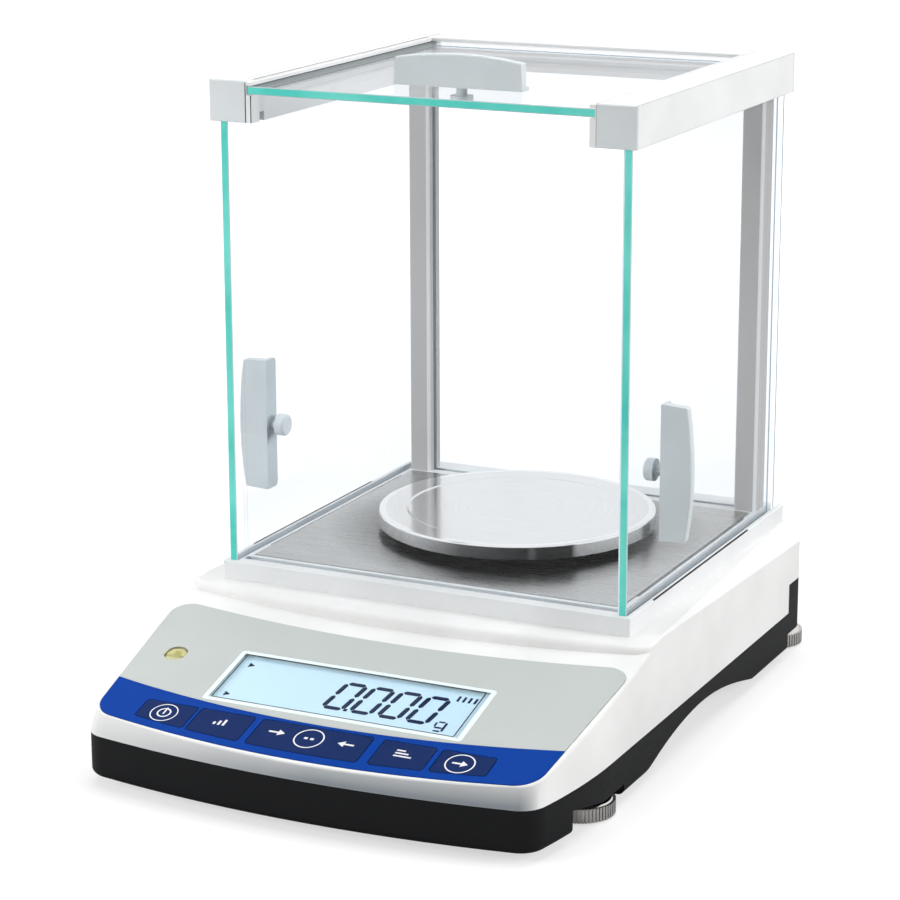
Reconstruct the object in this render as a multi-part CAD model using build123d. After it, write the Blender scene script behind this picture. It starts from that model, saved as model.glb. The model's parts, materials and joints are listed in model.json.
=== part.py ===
from build123d import *
import os
from math import asin, atan2, cos, degrees, radians, sin, sqrt, tan

# Laboratory balance with a glass draft shield. Millimetres, +Z up, front towards -Y,
# X = 0 in the symmetry plane, Z = 0 where the feet touch the table.

# Main levels and positions
table_z = 0.0
base_bottom_z = 4.0
parting_z = 23.0
rear_wall_top_z = 37.0
deck_z = 61.5
ledge_height = 8.5
ledge_top_z = deck_z + ledge_height
chamber_height = 199.7
rail_bottom_z = ledge_top_z + chamber_height
rail_size = 18.1
rail_top_z = rail_bottom_z + rail_size
rail_length = 192.7
chamber_front_y = -46.0
chamber_rear_y = chamber_front_y + rail_length
body_front_y = -164.3
body_rear_y = 151.5
body_half = 111.4
front_radius = 555.0
seam_gap = 0.2
fit_gap = 0.3
running_gap = 0.05

# Plan outline of the body at the seam and at the top of the upper shell
side_low_length = 45.0
side_low_end_y = chamber_front_y - side_low_length
side_low_radius = 270.0
front_corner_radius = 12.0
side_high_end_y = chamber_front_y + 10.0
side_high_radius = 440.0
front_lean = 19.7
front_high_y = body_front_y + front_lean
loft_height = 42.0
high_z = parting_z + loft_height
rear_corner_radius = 13.0

# Sloping control face
slope_angle = 15.05
slope_start_z = 60.2
rim_fillet = 1.4
plateau_length = 16.7
plateau_front_y = chamber_front_y - plateau_length
plateau_radius = 724.0
plateau_corner_radius = 8.0
plateau_fillet = 2.8
facet_front_y = chamber_front_y - 2.0
facet_width = 11.6
facet_inner_x = body_half - facet_width
facet_drop = 6.5

# Walls
shell_wall = 2.6
tray_wall = 3.0
tray_floor = 3.0

# Control films
film_thickness = 0.8
film_recess = 0.5
film_gap = 0.25
film_side_start = body_half + 0.7
film_side_taper = 5.04
film_front_v = -117.45
film_back_v = -28.1
film_back_radius = 690.0
film_front_radius = 540.0
film_front_corner = 12.0
film_back_corner = 9.0
colour_edge_v = -92.6
colour_gap = 0.15

# Display
lcd_share = 0.5224
lcd_half_width = lcd_share * body_half
lcd_top_v = -52.5
lcd_bottom_v = -84.9
window_border = 2.8
window_corner = 1.5
window_thickness = 1.2
lcd_air = 0.3
bezel_line = 0.7
digit_height = 18.4
digit_width = 9.0
digit_pitch = 13.0
digit_stroke = 1.9
digit_lean = 9.0
digit_thickness = 0.08
first_digit_x = -7.9
digit_low_v = lcd_bottom_v + 7.2
dot_size = 1.7
dot_gap = 2.3
unit_gap = 0.5
unit_height = 6.4
unit_width = 4.2
unit_stroke = 0.9
gauge_bars = 4
gauge_bar_width = 1.1
gauge_bar_height = 3.8
gauge_bar_pitch = 2.6
gauge_inset = 12.0
pointer_radius = 1.9
pointer_inset = 5.0

# Keys: left and right edges as shares of half the body width
key_gap = 0.3
key_flange = 0.7
key_flange_thickness = 1.0
key_travel = 0.6
key_corner = 1.4
key_proud = 0.05
key_top_v = -94.5
key_low_margin = 4.3
power_key_left = -0.7433 * body_half
power_key_right = -0.5206 * body_half
cal_key_left = -0.5045 * body_half
cal_key_right = -0.2720 * body_half
tare_key_left = -0.2379 * body_half
tare_key_right = 0.2271 * body_half
unit_key_left = 0.2702 * body_half
unit_key_right = 0.4856 * body_half
print_key_left = 0.5099 * body_half
print_key_right = 0.7253 * body_half

# Screws that hold the two halves of the body
screw_radius = 1.5
screw_head_radius = 3.0
screw_head_height = 2.0
housing_boss_radius = 4.5
front_screw_x = lcd_half_width + window_border + 7.0
rear_screw_x = body_half - 49.4
screw_front_y = -118.0
screw_rear_y = 128.0
screw_boss_height = 6.0
front_screw_top_z = 30.0
rear_screw_top_z = 34.0

# Board under the control face
board_depth = 7.2
board_thickness = 1.6
board_low_v = -108.0
board_high_v = -47.5
low_boss_v = -80.0
high_boss_v = -53.0
boss_x = front_screw_x + 13.5
board_half_width = boss_x + 4.5
boss_beside_level_x = -(lcd_half_width + window_border + 10.0)
switch_size = 6.0
switch_gap = 0.2
boss_radius = 3.2
boss_screw_radius = 1.25

# Level
level_x = boss_beside_level_x - 18.4
level_v = -59.5
level_radius = 5.2
level_cup_radius = 7.2
level_depth = 9.0
level_wall = 0.6
level_lid = 0.6
bubble_radius = 1.9

# Rails and the strips that carry the top glass
rail_outer_x = body_half - 11.4
cap_thickness = 2.0
cap_plug = 5.0
rail_wall = 2.4
guide_width = 2.8
rail_inner_x = rail_outer_x - rail_size

# Draft shield glass
glass = 3.7
top_glass = 3.6
rear_glass_thickness = 3.0
door_groove_depth = 3.0
door_play = 0.35
pane_play = 0.15
door_side_gap = 3.15
door_outer_x = rail_outer_x - door_side_gap
door_front_y = chamber_front_y + 3.6
door_rear_y = chamber_rear_y - 3.7
front_glass_y = chamber_front_y + 7.2
front_glass_half = door_outer_x - glass - door_play - 1.4
top_glass_overlap = 2.1
top_glass_half = rail_inner_x - guide_width + top_glass_overlap
top_glass_lift = 12.3
top_glass_low_z = rail_bottom_z + top_glass_lift
shield_rear_gap = 4.7
shield_rear_y = chamber_rear_y - shield_rear_gap
rear_glass_inset = 7.0
rear_glass_y = shield_rear_y - rear_glass_inset

# Posts and beams
post_depth = 11.5
post_width = 11.0
post_chamfer = 1.0
post_groove = 2.0
post_outer_x = front_glass_half + 0.6
post_front_y = shield_rear_y - post_depth
beam_depth = 11.2
beam_height = 7.9
beam_front_y = shield_rear_y - beam_depth

# Floor plate, dark line beside the doors, ledge
floor_side_gap = 10.0
floor_half = rail_outer_x - floor_side_gap
floor_front_y = chamber_front_y + 14.0
floor_rear_y = post_front_y - 2.5
floor_thickness = 1.0
floor_proud = 0.3
floor_channel = 1.5
floor_channel_depth = 2.2
track_line = 0.8
track_line_depth = 1.2
track_line_x = (door_outer_x + door_play + rail_outer_x) / 2 + 0.3
track_line_front_y = chamber_front_y + 29.0
track_line_rear_y = chamber_rear_y - 45.7
ledge_side_step = 0.6
ledge_half = rail_outer_x - ledge_side_step
ledge_front_y = chamber_front_y + 1.0
ledge_rear_y = chamber_rear_y + 3.7
ledge_wall = 3.0
ledge_top_wall = 5.5
ledge_rib = 2.4
ledge_rib_x = 60.0

# Handles
handle_length = 61.0
handle_end_height = 12.0
handle_mid_height = 14.5
handle_thickness = 4.6
handle_foot = 9.2
handle_foot_thickness = 1.5
side_handle_y = chamber_front_y + 39.5
side_handle_z = ledge_top_z + 54.0
top_handle_y = chamber_front_y + 33.0
top_handle_x = 3.5
knob_radius = 5.0
knob_length = 4.5
knob_stud_radius = 2.4
stud_play = 0.1
glass_hole_radius = knob_stud_radius + stud_play

# Pan and load cell
pan_y = chamber_front_y + 104.4
pan_radius = 65.0
pan_lift = 10.5
pan_top_z = ledge_top_z + pan_lift
pan_height = 6.4
pan_sheet = 1.2
pan_edge_radius = 1.4
pan_ring_width = 13.0
pan_dish = 0.35
carrier_radius = 57.0
carrier_thickness = 1.6
hub_radius = 9.0
spigot_radius = 6.0
spigot_hole_radius = 12.0
load_travel = 0.5
cell_front_y = pan_y - 12.0
cell_length = 80.0
cell_width = 30.0
cell_height = 22.0
cell_hole_radius = 8.0
cell_hole_spacing = 24.0
bracket_height = 6.0
cell_cap_radius = 11.0
cell_cap_height = 12.0
spigot_depth = 6.0

# Main board on the floor of the base
main_board_left_x = -74.0
main_board_width = 44.0
main_board_front_y = -20.0
main_board_length = 120.0
main_board_lift = 4.0
main_board_post_radius = 2.5
main_board_post_inset = 4.0
chip_size = 16.0
chip_height = 1.6
coil_width = 10.0
coil_length = 24.0
coil_height = 7.4

# Feet
wheel_radius = 15.0
wheel_thickness = 7.0
pad_radius = 11.0
pad_thickness = 0.5
pad_pin_radius = 4.0
pad_pin_height = 3.0
stud_radius = 3.0
stud_height = 13.0
front_foot_x = body_half - 13.2
rear_foot_x = body_half - 16.2
front_foot_y = chamber_front_y - 48.0
rear_foot_y = chamber_rear_y + 2.6
foot_boss_radius = 6.5
foot_boss_top_z = 24.0

# Recesses over the levelling wheels
pocket_inner_x = rear_foot_x - wheel_radius - 2.2
front_pocket_front_y = front_foot_y - 32.5
front_pocket_bend_y = front_foot_y - 6.0
front_pocket_rear_y = front_foot_y + wheel_radius + 1.0
front_pocket_top_z = 9.0
front_pocket_high_z = 14.5
rear_pocket_front_y = rear_foot_y - wheel_radius - 7.3
rear_pocket_top_z = 12.5

# Grip arches along both sides of the base
arch_front_y = -59.0
arch_rear_y = 88.0
arch_mid_y = 12.0
arch_top_z = 16.1
arch_shoulder_z = 14.8
arch_shoulder_run = 21.0
arch_foot_z = 9.3
arch_front_foot_run = 20.5
arch_rear_foot_run = 25.0
arch_depth = 31.4
arch_inner_x = body_half - arch_depth
tray_bottom_fillet = 3.0

# Rear connectors
power_x = -62.0
power_z = 21.0
power_radius = 4.6
power_depth = 14.0
power_collar = 1.6
power_pin_radius = 0.9
serial_x = 30.0
serial_z = 21.0
serial_width = 31.0
serial_height = 12.5
serial_pin_pitch = 2.77
serial_row_rise = 1.4

big = 400.0


def tilt_sin():
    return sin(radians(slope_angle))


def tilt_cos():
    return cos(radians(slope_angle))


def slope_plane(depth=0.0):
    # Plane parallel to the control face, depth below it, y axis running up the slope
    normal = Vector(0, -tilt_sin(), tilt_cos())
    start = Vector(0, chamber_front_y, slope_start_z) - normal * depth
    return Plane(origin=start, x_dir=(1, 0, 0), z_dir=normal)


def box_between(x0, x1, y0, y1, z0, z1):
    centre = Pos((x0 + x1) / 2, (y0 + y1) / 2, (z0 + z1) / 2)
    return centre * Box(abs(x1 - x0), abs(y1 - y0), abs(z1 - z0))


def circle_meeting(centre_a, radius_a, centre_b, radius_b):
    # The meeting point of two circles that has the larger X
    dx = centre_b[0] - centre_a[0]
    dy = centre_b[1] - centre_a[1]
    span = sqrt(dx * dx + dy * dy)
    along = (radius_a**2 - radius_b**2 + span**2) / (2 * span)
    aside = sqrt(radius_a**2 - along**2)
    first = (
        centre_a[0] + (along * dx + aside * dy) / span,
        centre_a[1] + (along * dy - aside * dx) / span,
    )
    second = (
        centre_a[0] + (along * dx - aside * dy) / span,
        centre_a[1] + (along * dy + aside * dx) / span,
    )
    return max(first, second)


def body_outline(front_y, side_end_y, side_radius, inset=0.0):
    # Plan outline with sharp corners: bowed front, sides that curve in towards it, straight rear
    half = body_half - inset
    rear = body_rear_y - inset
    front = front_y + inset
    side_bow = side_radius - inset
    front_bow = front_radius - inset
    side_centre = (half - side_bow, side_end_y)
    corner = circle_meeting(side_centre, side_bow, (0, front + front_bow), front_bow)
    half_angle = asin((corner[1] - side_end_y) / side_bow) / 2
    bow_x = side_centre[0] + side_bow * cos(half_angle)
    bow_y = side_end_y + side_bow * sin(half_angle)
    edges = [
        Line((-half, rear), (half, rear)),
        Line((half, rear), (half, side_end_y)),
        ThreePointArc((half, side_end_y), (bow_x, bow_y), corner),
        ThreePointArc(corner, (0, front), (-corner[0], corner[1])),
        ThreePointArc((-corner[0], corner[1]), (-bow_x, bow_y), (-half, side_end_y)),
        Line((-half, side_end_y), (-half, rear)),
    ]
    return make_face(edges)


def low_outline(inset=0.0):
    # Rounded outline of the body at the seam
    face = body_outline(body_front_y, side_low_end_y, side_low_radius, inset)
    face = fillet(face.vertices().sort_by(Axis.Y)[:2], front_corner_radius - inset)
    return fillet(face.vertices().sort_by(Axis.Y)[-2:], rear_corner_radius - inset)


def round_upright_edges(block, at_front, radius):
    chosen = []
    for edge in block.edges():
        rise = abs(edge.position_at(0).Z - edge.position_at(1).Z)
        y = edge.position_at(0.5).Y
        if rise > (high_z - parting_z) / 2 and (y < screw_front_y if at_front else y > screw_rear_y):
            chosen.append(edge)
    return fillet(chosen, radius)


def shell_block(inset=0.0):
    # Walls that lean inwards more and more towards the front
    low = body_outline(body_front_y, side_low_end_y, side_low_radius, inset)
    high = body_outline(front_high_y, side_high_end_y, side_high_radius, inset)
    sections = [(Pos(0, 0, parting_z) * low).face(), (Pos(0, 0, high_z) * high).face()]
    block = loft(sections, ruled=True)
    block = round_upright_edges(block, True, front_corner_radius - inset)
    return round_upright_edges(block, False, rear_corner_radius - inset)


def plateau_block(inset=0.0):
    # Everything behind the bowed front of the raised deck, its top front edge rounded
    wide = body_half + 0.6 - inset
    front = plateau_front_y + inset
    rise = plateau_radius - sqrt(plateau_radius**2 - wide**2)
    edges = [
        ThreePointArc((-wide, front + rise), (0, front), (wide, front + rise)),
        Line((wide, front + rise), (wide, body_rear_y + 5)),
        Line((wide, body_rear_y + 5), (-wide, body_rear_y + 5)),
        Line((-wide, body_rear_y + 5), (-wide, front + rise)),
    ]
    face = make_face(edges)
    face = fillet(face.vertices().sort_by(Axis.Y)[:2], plateau_corner_radius)
    block = extrude(face, deck_z - inset)
    top_edges = block.edges().group_by(Axis.Z)[-1].filter_by(lambda e: e.center().Y < body_rear_y)
    return fillet(top_edges, plateau_fillet)


def below_slope(depth=0.0):
    return slope_plane(depth) * Pos(0, 0, -big / 2) * Box(big, 2 * big, big)


def facet_cutters(inset=0.0):
    # Planes that take the outer edges off the deck, wider towards the rear
    a = Vector(body_half, facet_front_y, deck_z)
    b = Vector(facet_inner_x, body_rear_y, deck_z)
    c = Vector(body_half, body_rear_y, deck_z - facet_drop)
    normal = (c - a).cross(b - a)
    if normal.Z < 0:
        normal = normal * -1
    start = a - normal.normalized() * inset
    right = Plane(origin=start, z_dir=normal) * Pos(0, 0, big / 2) * Box(big, big, big)
    return right + mirror(right, about=Plane.YZ)


def on_slope(edge):
    plane = slope_plane()
    points = (edge.position_at(0), edge.position_at(0.5), edge.position_at(1))
    return all(abs(plane.to_local_coords(point).Z) < 0.05 for point in points)


def housing_block(inset=0.0, rim_radius=0.0):
    block = shell_block(inset)
    deck = box_between(-big, big, -big, big, 0, deck_z - inset)
    front = block & below_slope(inset)
    if rim_radius > 0:
        rim = [edge for edge in front.edges() if on_slope(edge)]
        rim = [edge for edge in rim if edge.position_at(0.5).Y < chamber_front_y + 16]
        front = fillet(rim, rim_radius)
    return (front & deck) + (block & plateau_block(inset))


def arc_v(middle, radius, x):
    # Height on the slope of a bowed line at distance x from the middle
    return middle + radius - sqrt(radius * radius - x * x)


def film_half(v, inset=0.0):
    return film_side_start - inset + v * tan(radians(film_side_taper))


def film_area(inset=0.0):
    # Rounded outline of both control films, in slope coordinates
    front_guess = film_half(film_front_v, inset)
    front_v = arc_v(film_front_v + inset, film_front_radius, front_guess)
    back_guess = film_half(film_back_v, inset)
    back_v = arc_v(film_back_v - inset, film_back_radius, back_guess)
    front_x = film_half(front_v, inset)
    back_x = film_half(back_v, inset)
    edges = [
        ThreePointArc((-front_x, front_v), (0, film_front_v + inset), (front_x, front_v)),
        Line((front_x, front_v), (back_x, back_v)),
        ThreePointArc((back_x, back_v), (0, film_back_v - inset), (-back_x, back_v)),
        Line((-back_x, back_v), (-front_x, front_v)),
    ]
    face = make_face(edges)
    face = fillet(face.vertices().sort_by(Axis.Y)[:2], film_front_corner - inset)
    return fillet(face.vertices().sort_by(Axis.Y)[-2:], film_back_corner - inset)


def blue_side(gap):
    # Everything in front of the bowed line where the two films meet
    wide = body_half + film_front_corner
    high = colour_edge_v - gap
    end_v = arc_v(high, film_front_radius, wide)
    edges = [
        ThreePointArc((wide, end_v), (0, high), (-wide, end_v)),
        Polyline((-wide, end_v), (-wide, -big), (wide, -big), (wide, end_v)),
    ]
    return make_face(edges)


def key_area(left, right, grow=0.0):
    # Bowed along the front edge of the film, straight along the top
    low = film_front_v + key_low_margin - grow
    high = key_top_v + grow
    left = left - grow
    right = right + grow
    middle = (left + right) / 2
    edges = [
        ThreePointArc(
            (left, arc_v(low, film_front_radius, left)),
            (middle, arc_v(low, film_front_radius, middle)),
            (right, arc_v(low, film_front_radius, right)),
        ),
        Polyline(
            (right, arc_v(low, film_front_radius, right)),
            (right, high),
            (left, high),
            (left, arc_v(low, film_front_radius, left)),
        ),
    ]
    face = make_face(edges)
    return fillet(face.vertices(), key_corner + grow)


def key_places():
    return [
        (power_key_left, power_key_right),
        (cal_key_left, cal_key_right),
        (tare_key_left, tare_key_right),
        (unit_key_left, unit_key_right),
        (print_key_left, print_key_right),
    ]


def key_centre(left, right):
    x = (left + right) / 2
    low = arc_v(film_front_v + key_low_margin, film_front_radius, x)
    return (x, (low + key_top_v) / 2)


def window_area(grow=0.0):
    width = 2 * (lcd_half_width + window_border + grow)
    height = lcd_top_v - lcd_bottom_v + 2 * (window_border + grow)
    middle = (lcd_top_v + lcd_bottom_v) / 2
    return Pos(0, middle) * RectangleRounded(width, height, window_corner + grow)


def board_boss_places():
    return [
        (-boss_x, low_boss_v),
        (boss_x, low_boss_v),
        (boss_beside_level_x, high_boss_v),
        (boss_x, high_boss_v),
    ]


def in_slope(face, top, bottom):
    # Solid standing on the slope frame between two depths, measured outwards
    return slope_plane() * Pos(0, 0, bottom) * extrude(face, top - bottom)


def top_housing():
    outer = housing_block(0.0, rim_fillet) - facet_cutters()
    inner = housing_block(shell_wall) - facet_cutters(shell_wall)
    shell = outer - inner
    for x, y, hole_top in screw_places():
        low = base_floor_top() + screw_boss_height
        post = Pos(x, y, low) * extrude(Circle(housing_boss_radius), deck_z)
        shell = shell + (post & outer)
        shell = shell - Pos(x, y, low - 1) * extrude(Circle(screw_radius - 0.2), hole_top - low)
    shell = shell - box_between(
        -big, big, rear_pocket_front_y, big, 0, rear_wall_top_z + seam_gap
    )
    shell = shell - in_slope(film_area(-film_gap), 1.0, -film_recess)
    shell = shell - in_slope(window_area(fit_gap), 1.0, -shell_wall - 1.0)
    for place in key_places():
        shell = shell - in_slope(key_area(*place, grow=key_gap), 1.0, -shell_wall - 1.0)
    level_hole = Pos(level_x, level_v) * Circle(level_radius + fit_gap)
    shell = shell - in_slope(level_hole, 1.0, -shell_wall - 1.0)
    for x, v in board_boss_places():
        boss = in_slope(Pos(x, v) * Circle(boss_radius), -shell_wall, -board_depth)
        hole = in_slope(Pos(x, v) * Circle(boss_screw_radius), -shell_wall, -board_depth - 1)
        shell = shell + (boss & outer) - hole
    pan_hole = Pos(0, pan_y, deck_z - 10) * extrude(Circle(spigot_hole_radius), 20)
    return shell - pan_hole


def base_floor_top():
    return base_bottom_z + tray_floor


def screw_places():
    # Positions of the screws that hold the shell, with the top of each screw hole
    places = []
    for side in (-1, 1):
        places.append((side * front_screw_x, screw_front_y, front_screw_top_z))
        places.append((side * rear_screw_x, screw_rear_y, rear_screw_top_z))
    return places


def arch_area(grow=0.0):
    # Side view of the grip arch, Y along the sketch x axis
    low = base_bottom_z - 1
    curve = Spline(
        (arch_front_y - grow, low),
        (arch_front_y + arch_front_foot_run - grow, arch_foot_z + grow / 2),
        (arch_mid_y - arch_shoulder_run, arch_shoulder_z + grow),
        (arch_mid_y, arch_top_z + grow),
        (arch_mid_y + arch_shoulder_run, arch_shoulder_z + grow),
        (arch_rear_y - arch_rear_foot_run + grow, arch_foot_z + grow / 2),
        (arch_rear_y + grow, low),
    )
    return make_face([curve, Line((arch_rear_y + grow, low), (arch_front_y - grow, low))])


def arch_prisms(grow=0.0):
    inner = arch_inner_x - grow
    face = Plane(origin=(inner, 0, 0), x_dir=(0, 1, 0), z_dir=(1, 0, 0)) * arch_area(grow)
    right = extrude(face, body_half - inner + 5)
    return right + mirror(right, about=Plane.YZ)


def front_pocket_area(grow=0.0):
    # Side view of the recess over a front wheel, Y along the sketch x axis; its roof rises to the front
    front = front_pocket_front_y - grow
    rear = front_pocket_rear_y + grow
    low = base_bottom_z - 1
    high = front_pocket_top_z + grow
    outline = Polyline(
        (front, low),
        (front, front_pocket_high_z + grow),
        (front_pocket_bend_y, high),
        (rear, high),
        (rear, low),
        close=True,
    )
    return make_face(outline)


def wheel_pockets(grow=0.0):
    # Recesses for the levelling wheels, open towards the sides and the rear
    inner = pocket_inner_x - grow
    outer = body_half + wheel_radius
    side_plane = Plane(origin=(inner, 0, 0), x_dir=(0, 1, 0), z_dir=(1, 0, 0))
    right = extrude(side_plane * front_pocket_area(grow), outer - inner)
    right = right + box_between(
        inner,
        outer,
        rear_pocket_front_y - grow,
        body_rear_y + wheel_radius,
        base_bottom_z - 1,
        rear_pocket_top_z + grow,
    )
    return right + mirror(right, about=Plane.YZ)


def foot_places():
    return [
        ("front_left", -front_foot_x, front_foot_y),
        ("front_right", front_foot_x, front_foot_y),
        ("rear_left", -rear_foot_x, rear_foot_y),
        ("rear_right", rear_foot_x, rear_foot_y),
    ]


def base_tray():
    height = parting_z - base_bottom_z
    outer = Pos(0, 0, base_bottom_z) * extrude(low_outline(), height)
    outer = fillet(outer.edges().group_by(Axis.Z)[0], tray_bottom_fillet)
    inner = Pos(0, 0, base_floor_top()) * extrude(low_outline(tray_wall), big)
    rear_wall = Pos(0, 0, parting_z) * extrude(low_outline(), rear_wall_top_z - parting_z)
    rear_wall = rear_wall & box_between(
        -big, big, rear_pocket_front_y + seam_gap, big, 0, big
    )
    tray = outer + rear_wall - inner
    liners = (wheel_pockets(tray_floor) + arch_prisms(tray_floor)) & outer
    tray = tray + liners
    for _, x, y in foot_places():
        boss_height = foot_boss_top_z - base_bottom_z
        tray = tray + Pos(x, y, base_bottom_z) * extrude(Circle(foot_boss_radius), boss_height)
    tray = tray - wheel_pockets() - arch_prisms()
    for _, x, y in foot_places():
        tray = tray - Pos(x, y, 0) * extrude(Circle(stud_radius + running_gap), foot_boss_top_z - 2)
    for x, y, _ in screw_places():
        boss = Pos(x, y, base_floor_top()) * extrude(Circle(housing_boss_radius), screw_boss_height)
        tray = tray + boss
        tray = tray - Pos(x, y, 0) * extrude(Circle(screw_radius + fit_gap), 20)
        tray = tray - Pos(x, y, 0) * extrude(
            Circle(screw_head_radius + fit_gap), base_bottom_z + screw_head_height + 0.5
        )
    power_hole = Pos(power_x, body_rear_y, power_z) * Rot(90, 0, 0) * Cylinder(power_radius + 0.1, 20)
    serial_hole = Pos(serial_x, body_rear_y, serial_z) * Box(
        serial_width - 8 + 0.2, 20, serial_height - 3 + 0.2
    )
    return tray - power_hole - serial_hole


def chamber_ledge():
    outer = box_between(-ledge_half, ledge_half, ledge_front_y, ledge_rear_y, deck_z, ledge_top_z)
    outer = fillet(outer.edges().filter_by(Axis.Z), 1.2)
    outer = chamfer(outer.faces().sort_by(Axis.Z)[-1].edges(), 0.4)
    hollow = box_between(
        -ledge_half + ledge_wall,
        ledge_half - ledge_wall,
        ledge_front_y + ledge_wall,
        ledge_rear_y - ledge_wall,
        deck_z - 1,
        ledge_top_z - ledge_top_wall,
    )
    ring = Pos(0, pan_y, deck_z) * extrude(Circle(spigot_hole_radius + 4), 5)
    ledge = outer - hollow + ring
    for x in (-ledge_rib_x, 0.0, ledge_rib_x):
        ledge = ledge + box_between(
            x - ledge_rib / 2,
            x + ledge_rib / 2,
            ledge_front_y + 1,
            ledge_rear_y - 1,
            deck_z,
            ledge_top_z - ledge_top_wall + 0.5,
        )
    ledge = ledge - Pos(0, pan_y, deck_z - 1) * extrude(Circle(spigot_hole_radius), 20)
    plate_bed = box_between(
        -floor_half - fit_gap,
        floor_half + fit_gap,
        floor_front_y - fit_gap,
        floor_rear_y + fit_gap,
        ledge_top_z - floor_thickness + floor_proud,
        ledge_top_z + 1,
    )
    ledge = ledge - plate_bed
    groove_floor = ledge_top_z - door_groove_depth - door_play
    for side in (-1, 1):
        ledge = ledge - box_between(
            side * (floor_half - 0.2),
            side * (floor_half + floor_channel),
            floor_front_y + 17.0,
            floor_rear_y - 10.0,
            ledge_top_z - floor_channel_depth,
            ledge_top_z + 1,
        )
        ledge = ledge - box_between(
            side * (door_outer_x - glass - door_play),
            side * (door_outer_x + door_play),
            door_front_y - door_play,
            ledge_rear_y + 1,
            groove_floor,
            ledge_top_z + 1,
        )
        ledge = ledge - box_between(
            side * (track_line_x - track_line / 2),
            side * (track_line_x + track_line / 2),
            track_line_front_y,
            track_line_rear_y,
            ledge_top_z - track_line_depth,
            ledge_top_z + 1,
        )
    ledge = ledge - box_between(
        -front_glass_half - 0.1,
        front_glass_half + 0.1,
        front_glass_y - pane_play,
        front_glass_y + glass + pane_play,
        ledge_top_z - 3.0,
        ledge_top_z + 1,
    )
    return ledge - box_between(
        -post_outer_x + post_width - post_groove,
        post_outer_x - post_width + post_groove,
        rear_glass_y - pane_play,
        rear_glass_y + rear_glass_thickness + pane_play,
        ledge_top_z - 2.0,
        ledge_top_z + 1,
    )


def chamber_floor():
    top = ledge_top_z + floor_proud
    plate = box_between(
        -floor_half, floor_half, floor_front_y, floor_rear_y, top - floor_thickness, top
    )
    plate = fillet(plate.edges().filter_by(Axis.Z), 2.0)
    return plate - Pos(0, pan_y, deck_z) * extrude(Circle(spigot_hole_radius), 20)


def track_strip(side):
    return box_between(
        side * (track_line_x - track_line / 2),
        side * (track_line_x + track_line / 2),
        track_line_front_y,
        track_line_rear_y,
        ledge_top_z - track_line_depth,
        ledge_top_z + 0.1,
    )


def display_film():
    area = film_area() - blue_side(-colour_gap / 2)
    area = area - window_area(0.1)
    area = area - Pos(level_x, level_v) * Circle(level_radius + 0.1)
    return in_slope(area, film_thickness - film_recess, -film_recess)


def key_film():
    area = film_area() & blue_side(colour_gap / 2)
    for place in key_places():
        area = area - key_area(*place, grow=key_gap)
    return in_slope(area, film_thickness - film_recess, -film_recess)


def lcd_window():
    top = film_thickness - film_recess
    return in_slope(window_area(), top, top - window_thickness)


def lcd_top():
    return film_thickness - film_recess - window_thickness - lcd_air


def lcd_module():
    middle = (lcd_top_v + lcd_bottom_v) / 2
    width = 2 * (lcd_half_width + window_border - 0.6)
    height = lcd_top_v - lcd_bottom_v + 2 * (window_border - 0.6)
    face = Pos(0, middle) * RectangleRounded(width, height, 1.0)
    rail = Pos(0, middle) * Rectangle(width - 20, height + 5)
    module = in_slope(face, lcd_top(), -board_depth)
    return module + in_slope(rail, -shell_wall - 0.4, -board_depth)


def segment_bar(x0, v0, x1, v1, stroke):
    # One straight segment with pointed ends
    length = sqrt((x1 - x0) ** 2 + (v1 - v0) ** 2)
    angle = degrees(atan2(v1 - v0, x1 - x0))
    half = stroke / 2
    shape = make_face(
        Polyline(
            (half, 0),
            (2 * half, half),
            (length - 2 * half, half),
            (length - half, 0),
            (length - 2 * half, -half),
            (2 * half, -half),
            close=True,
        )
    )
    return Pos(x0, v0) * Rot(0, 0, angle) * shape


def leaning(x, v, low_v):
    return x + (v - low_v) * tan(radians(digit_lean))


def digit_zero(left, low_v):
    high_v = low_v + digit_height
    mid_v = (low_v + high_v) / 2
    right = left + digit_width
    corners = [
        (leaning(left, low_v, low_v), low_v),
        (leaning(left, mid_v, low_v), mid_v),
        (leaning(left, high_v, low_v), high_v),
        (leaning(right, high_v, low_v), high_v),
        (leaning(right, mid_v, low_v), mid_v),
        (leaning(right, low_v, low_v), low_v),
    ]
    bars = []
    for i in range(len(corners)):
        a = corners[i]
        b = corners[(i + 1) % len(corners)]
        bars.append(segment_bar(a[0], a[1], b[0], b[1], digit_stroke))
    return bars


def unit_sign():
    # Small letter g, the sign of grams, from straight strokes
    left = first_digit_x + 4 * digit_pitch + unit_gap
    low = lcd_bottom_v + 3.4
    high = low + unit_height
    right = left + unit_width
    mid = low + unit_height * 0.38
    strokes = [
        (left, high, right, high),
        (left, high, left, mid),
        (left, mid, right, mid),
        (right, high, right, low),
        (left, low, right, low),
    ]
    return [segment_bar(*stroke, unit_stroke) for stroke in strokes]


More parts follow.
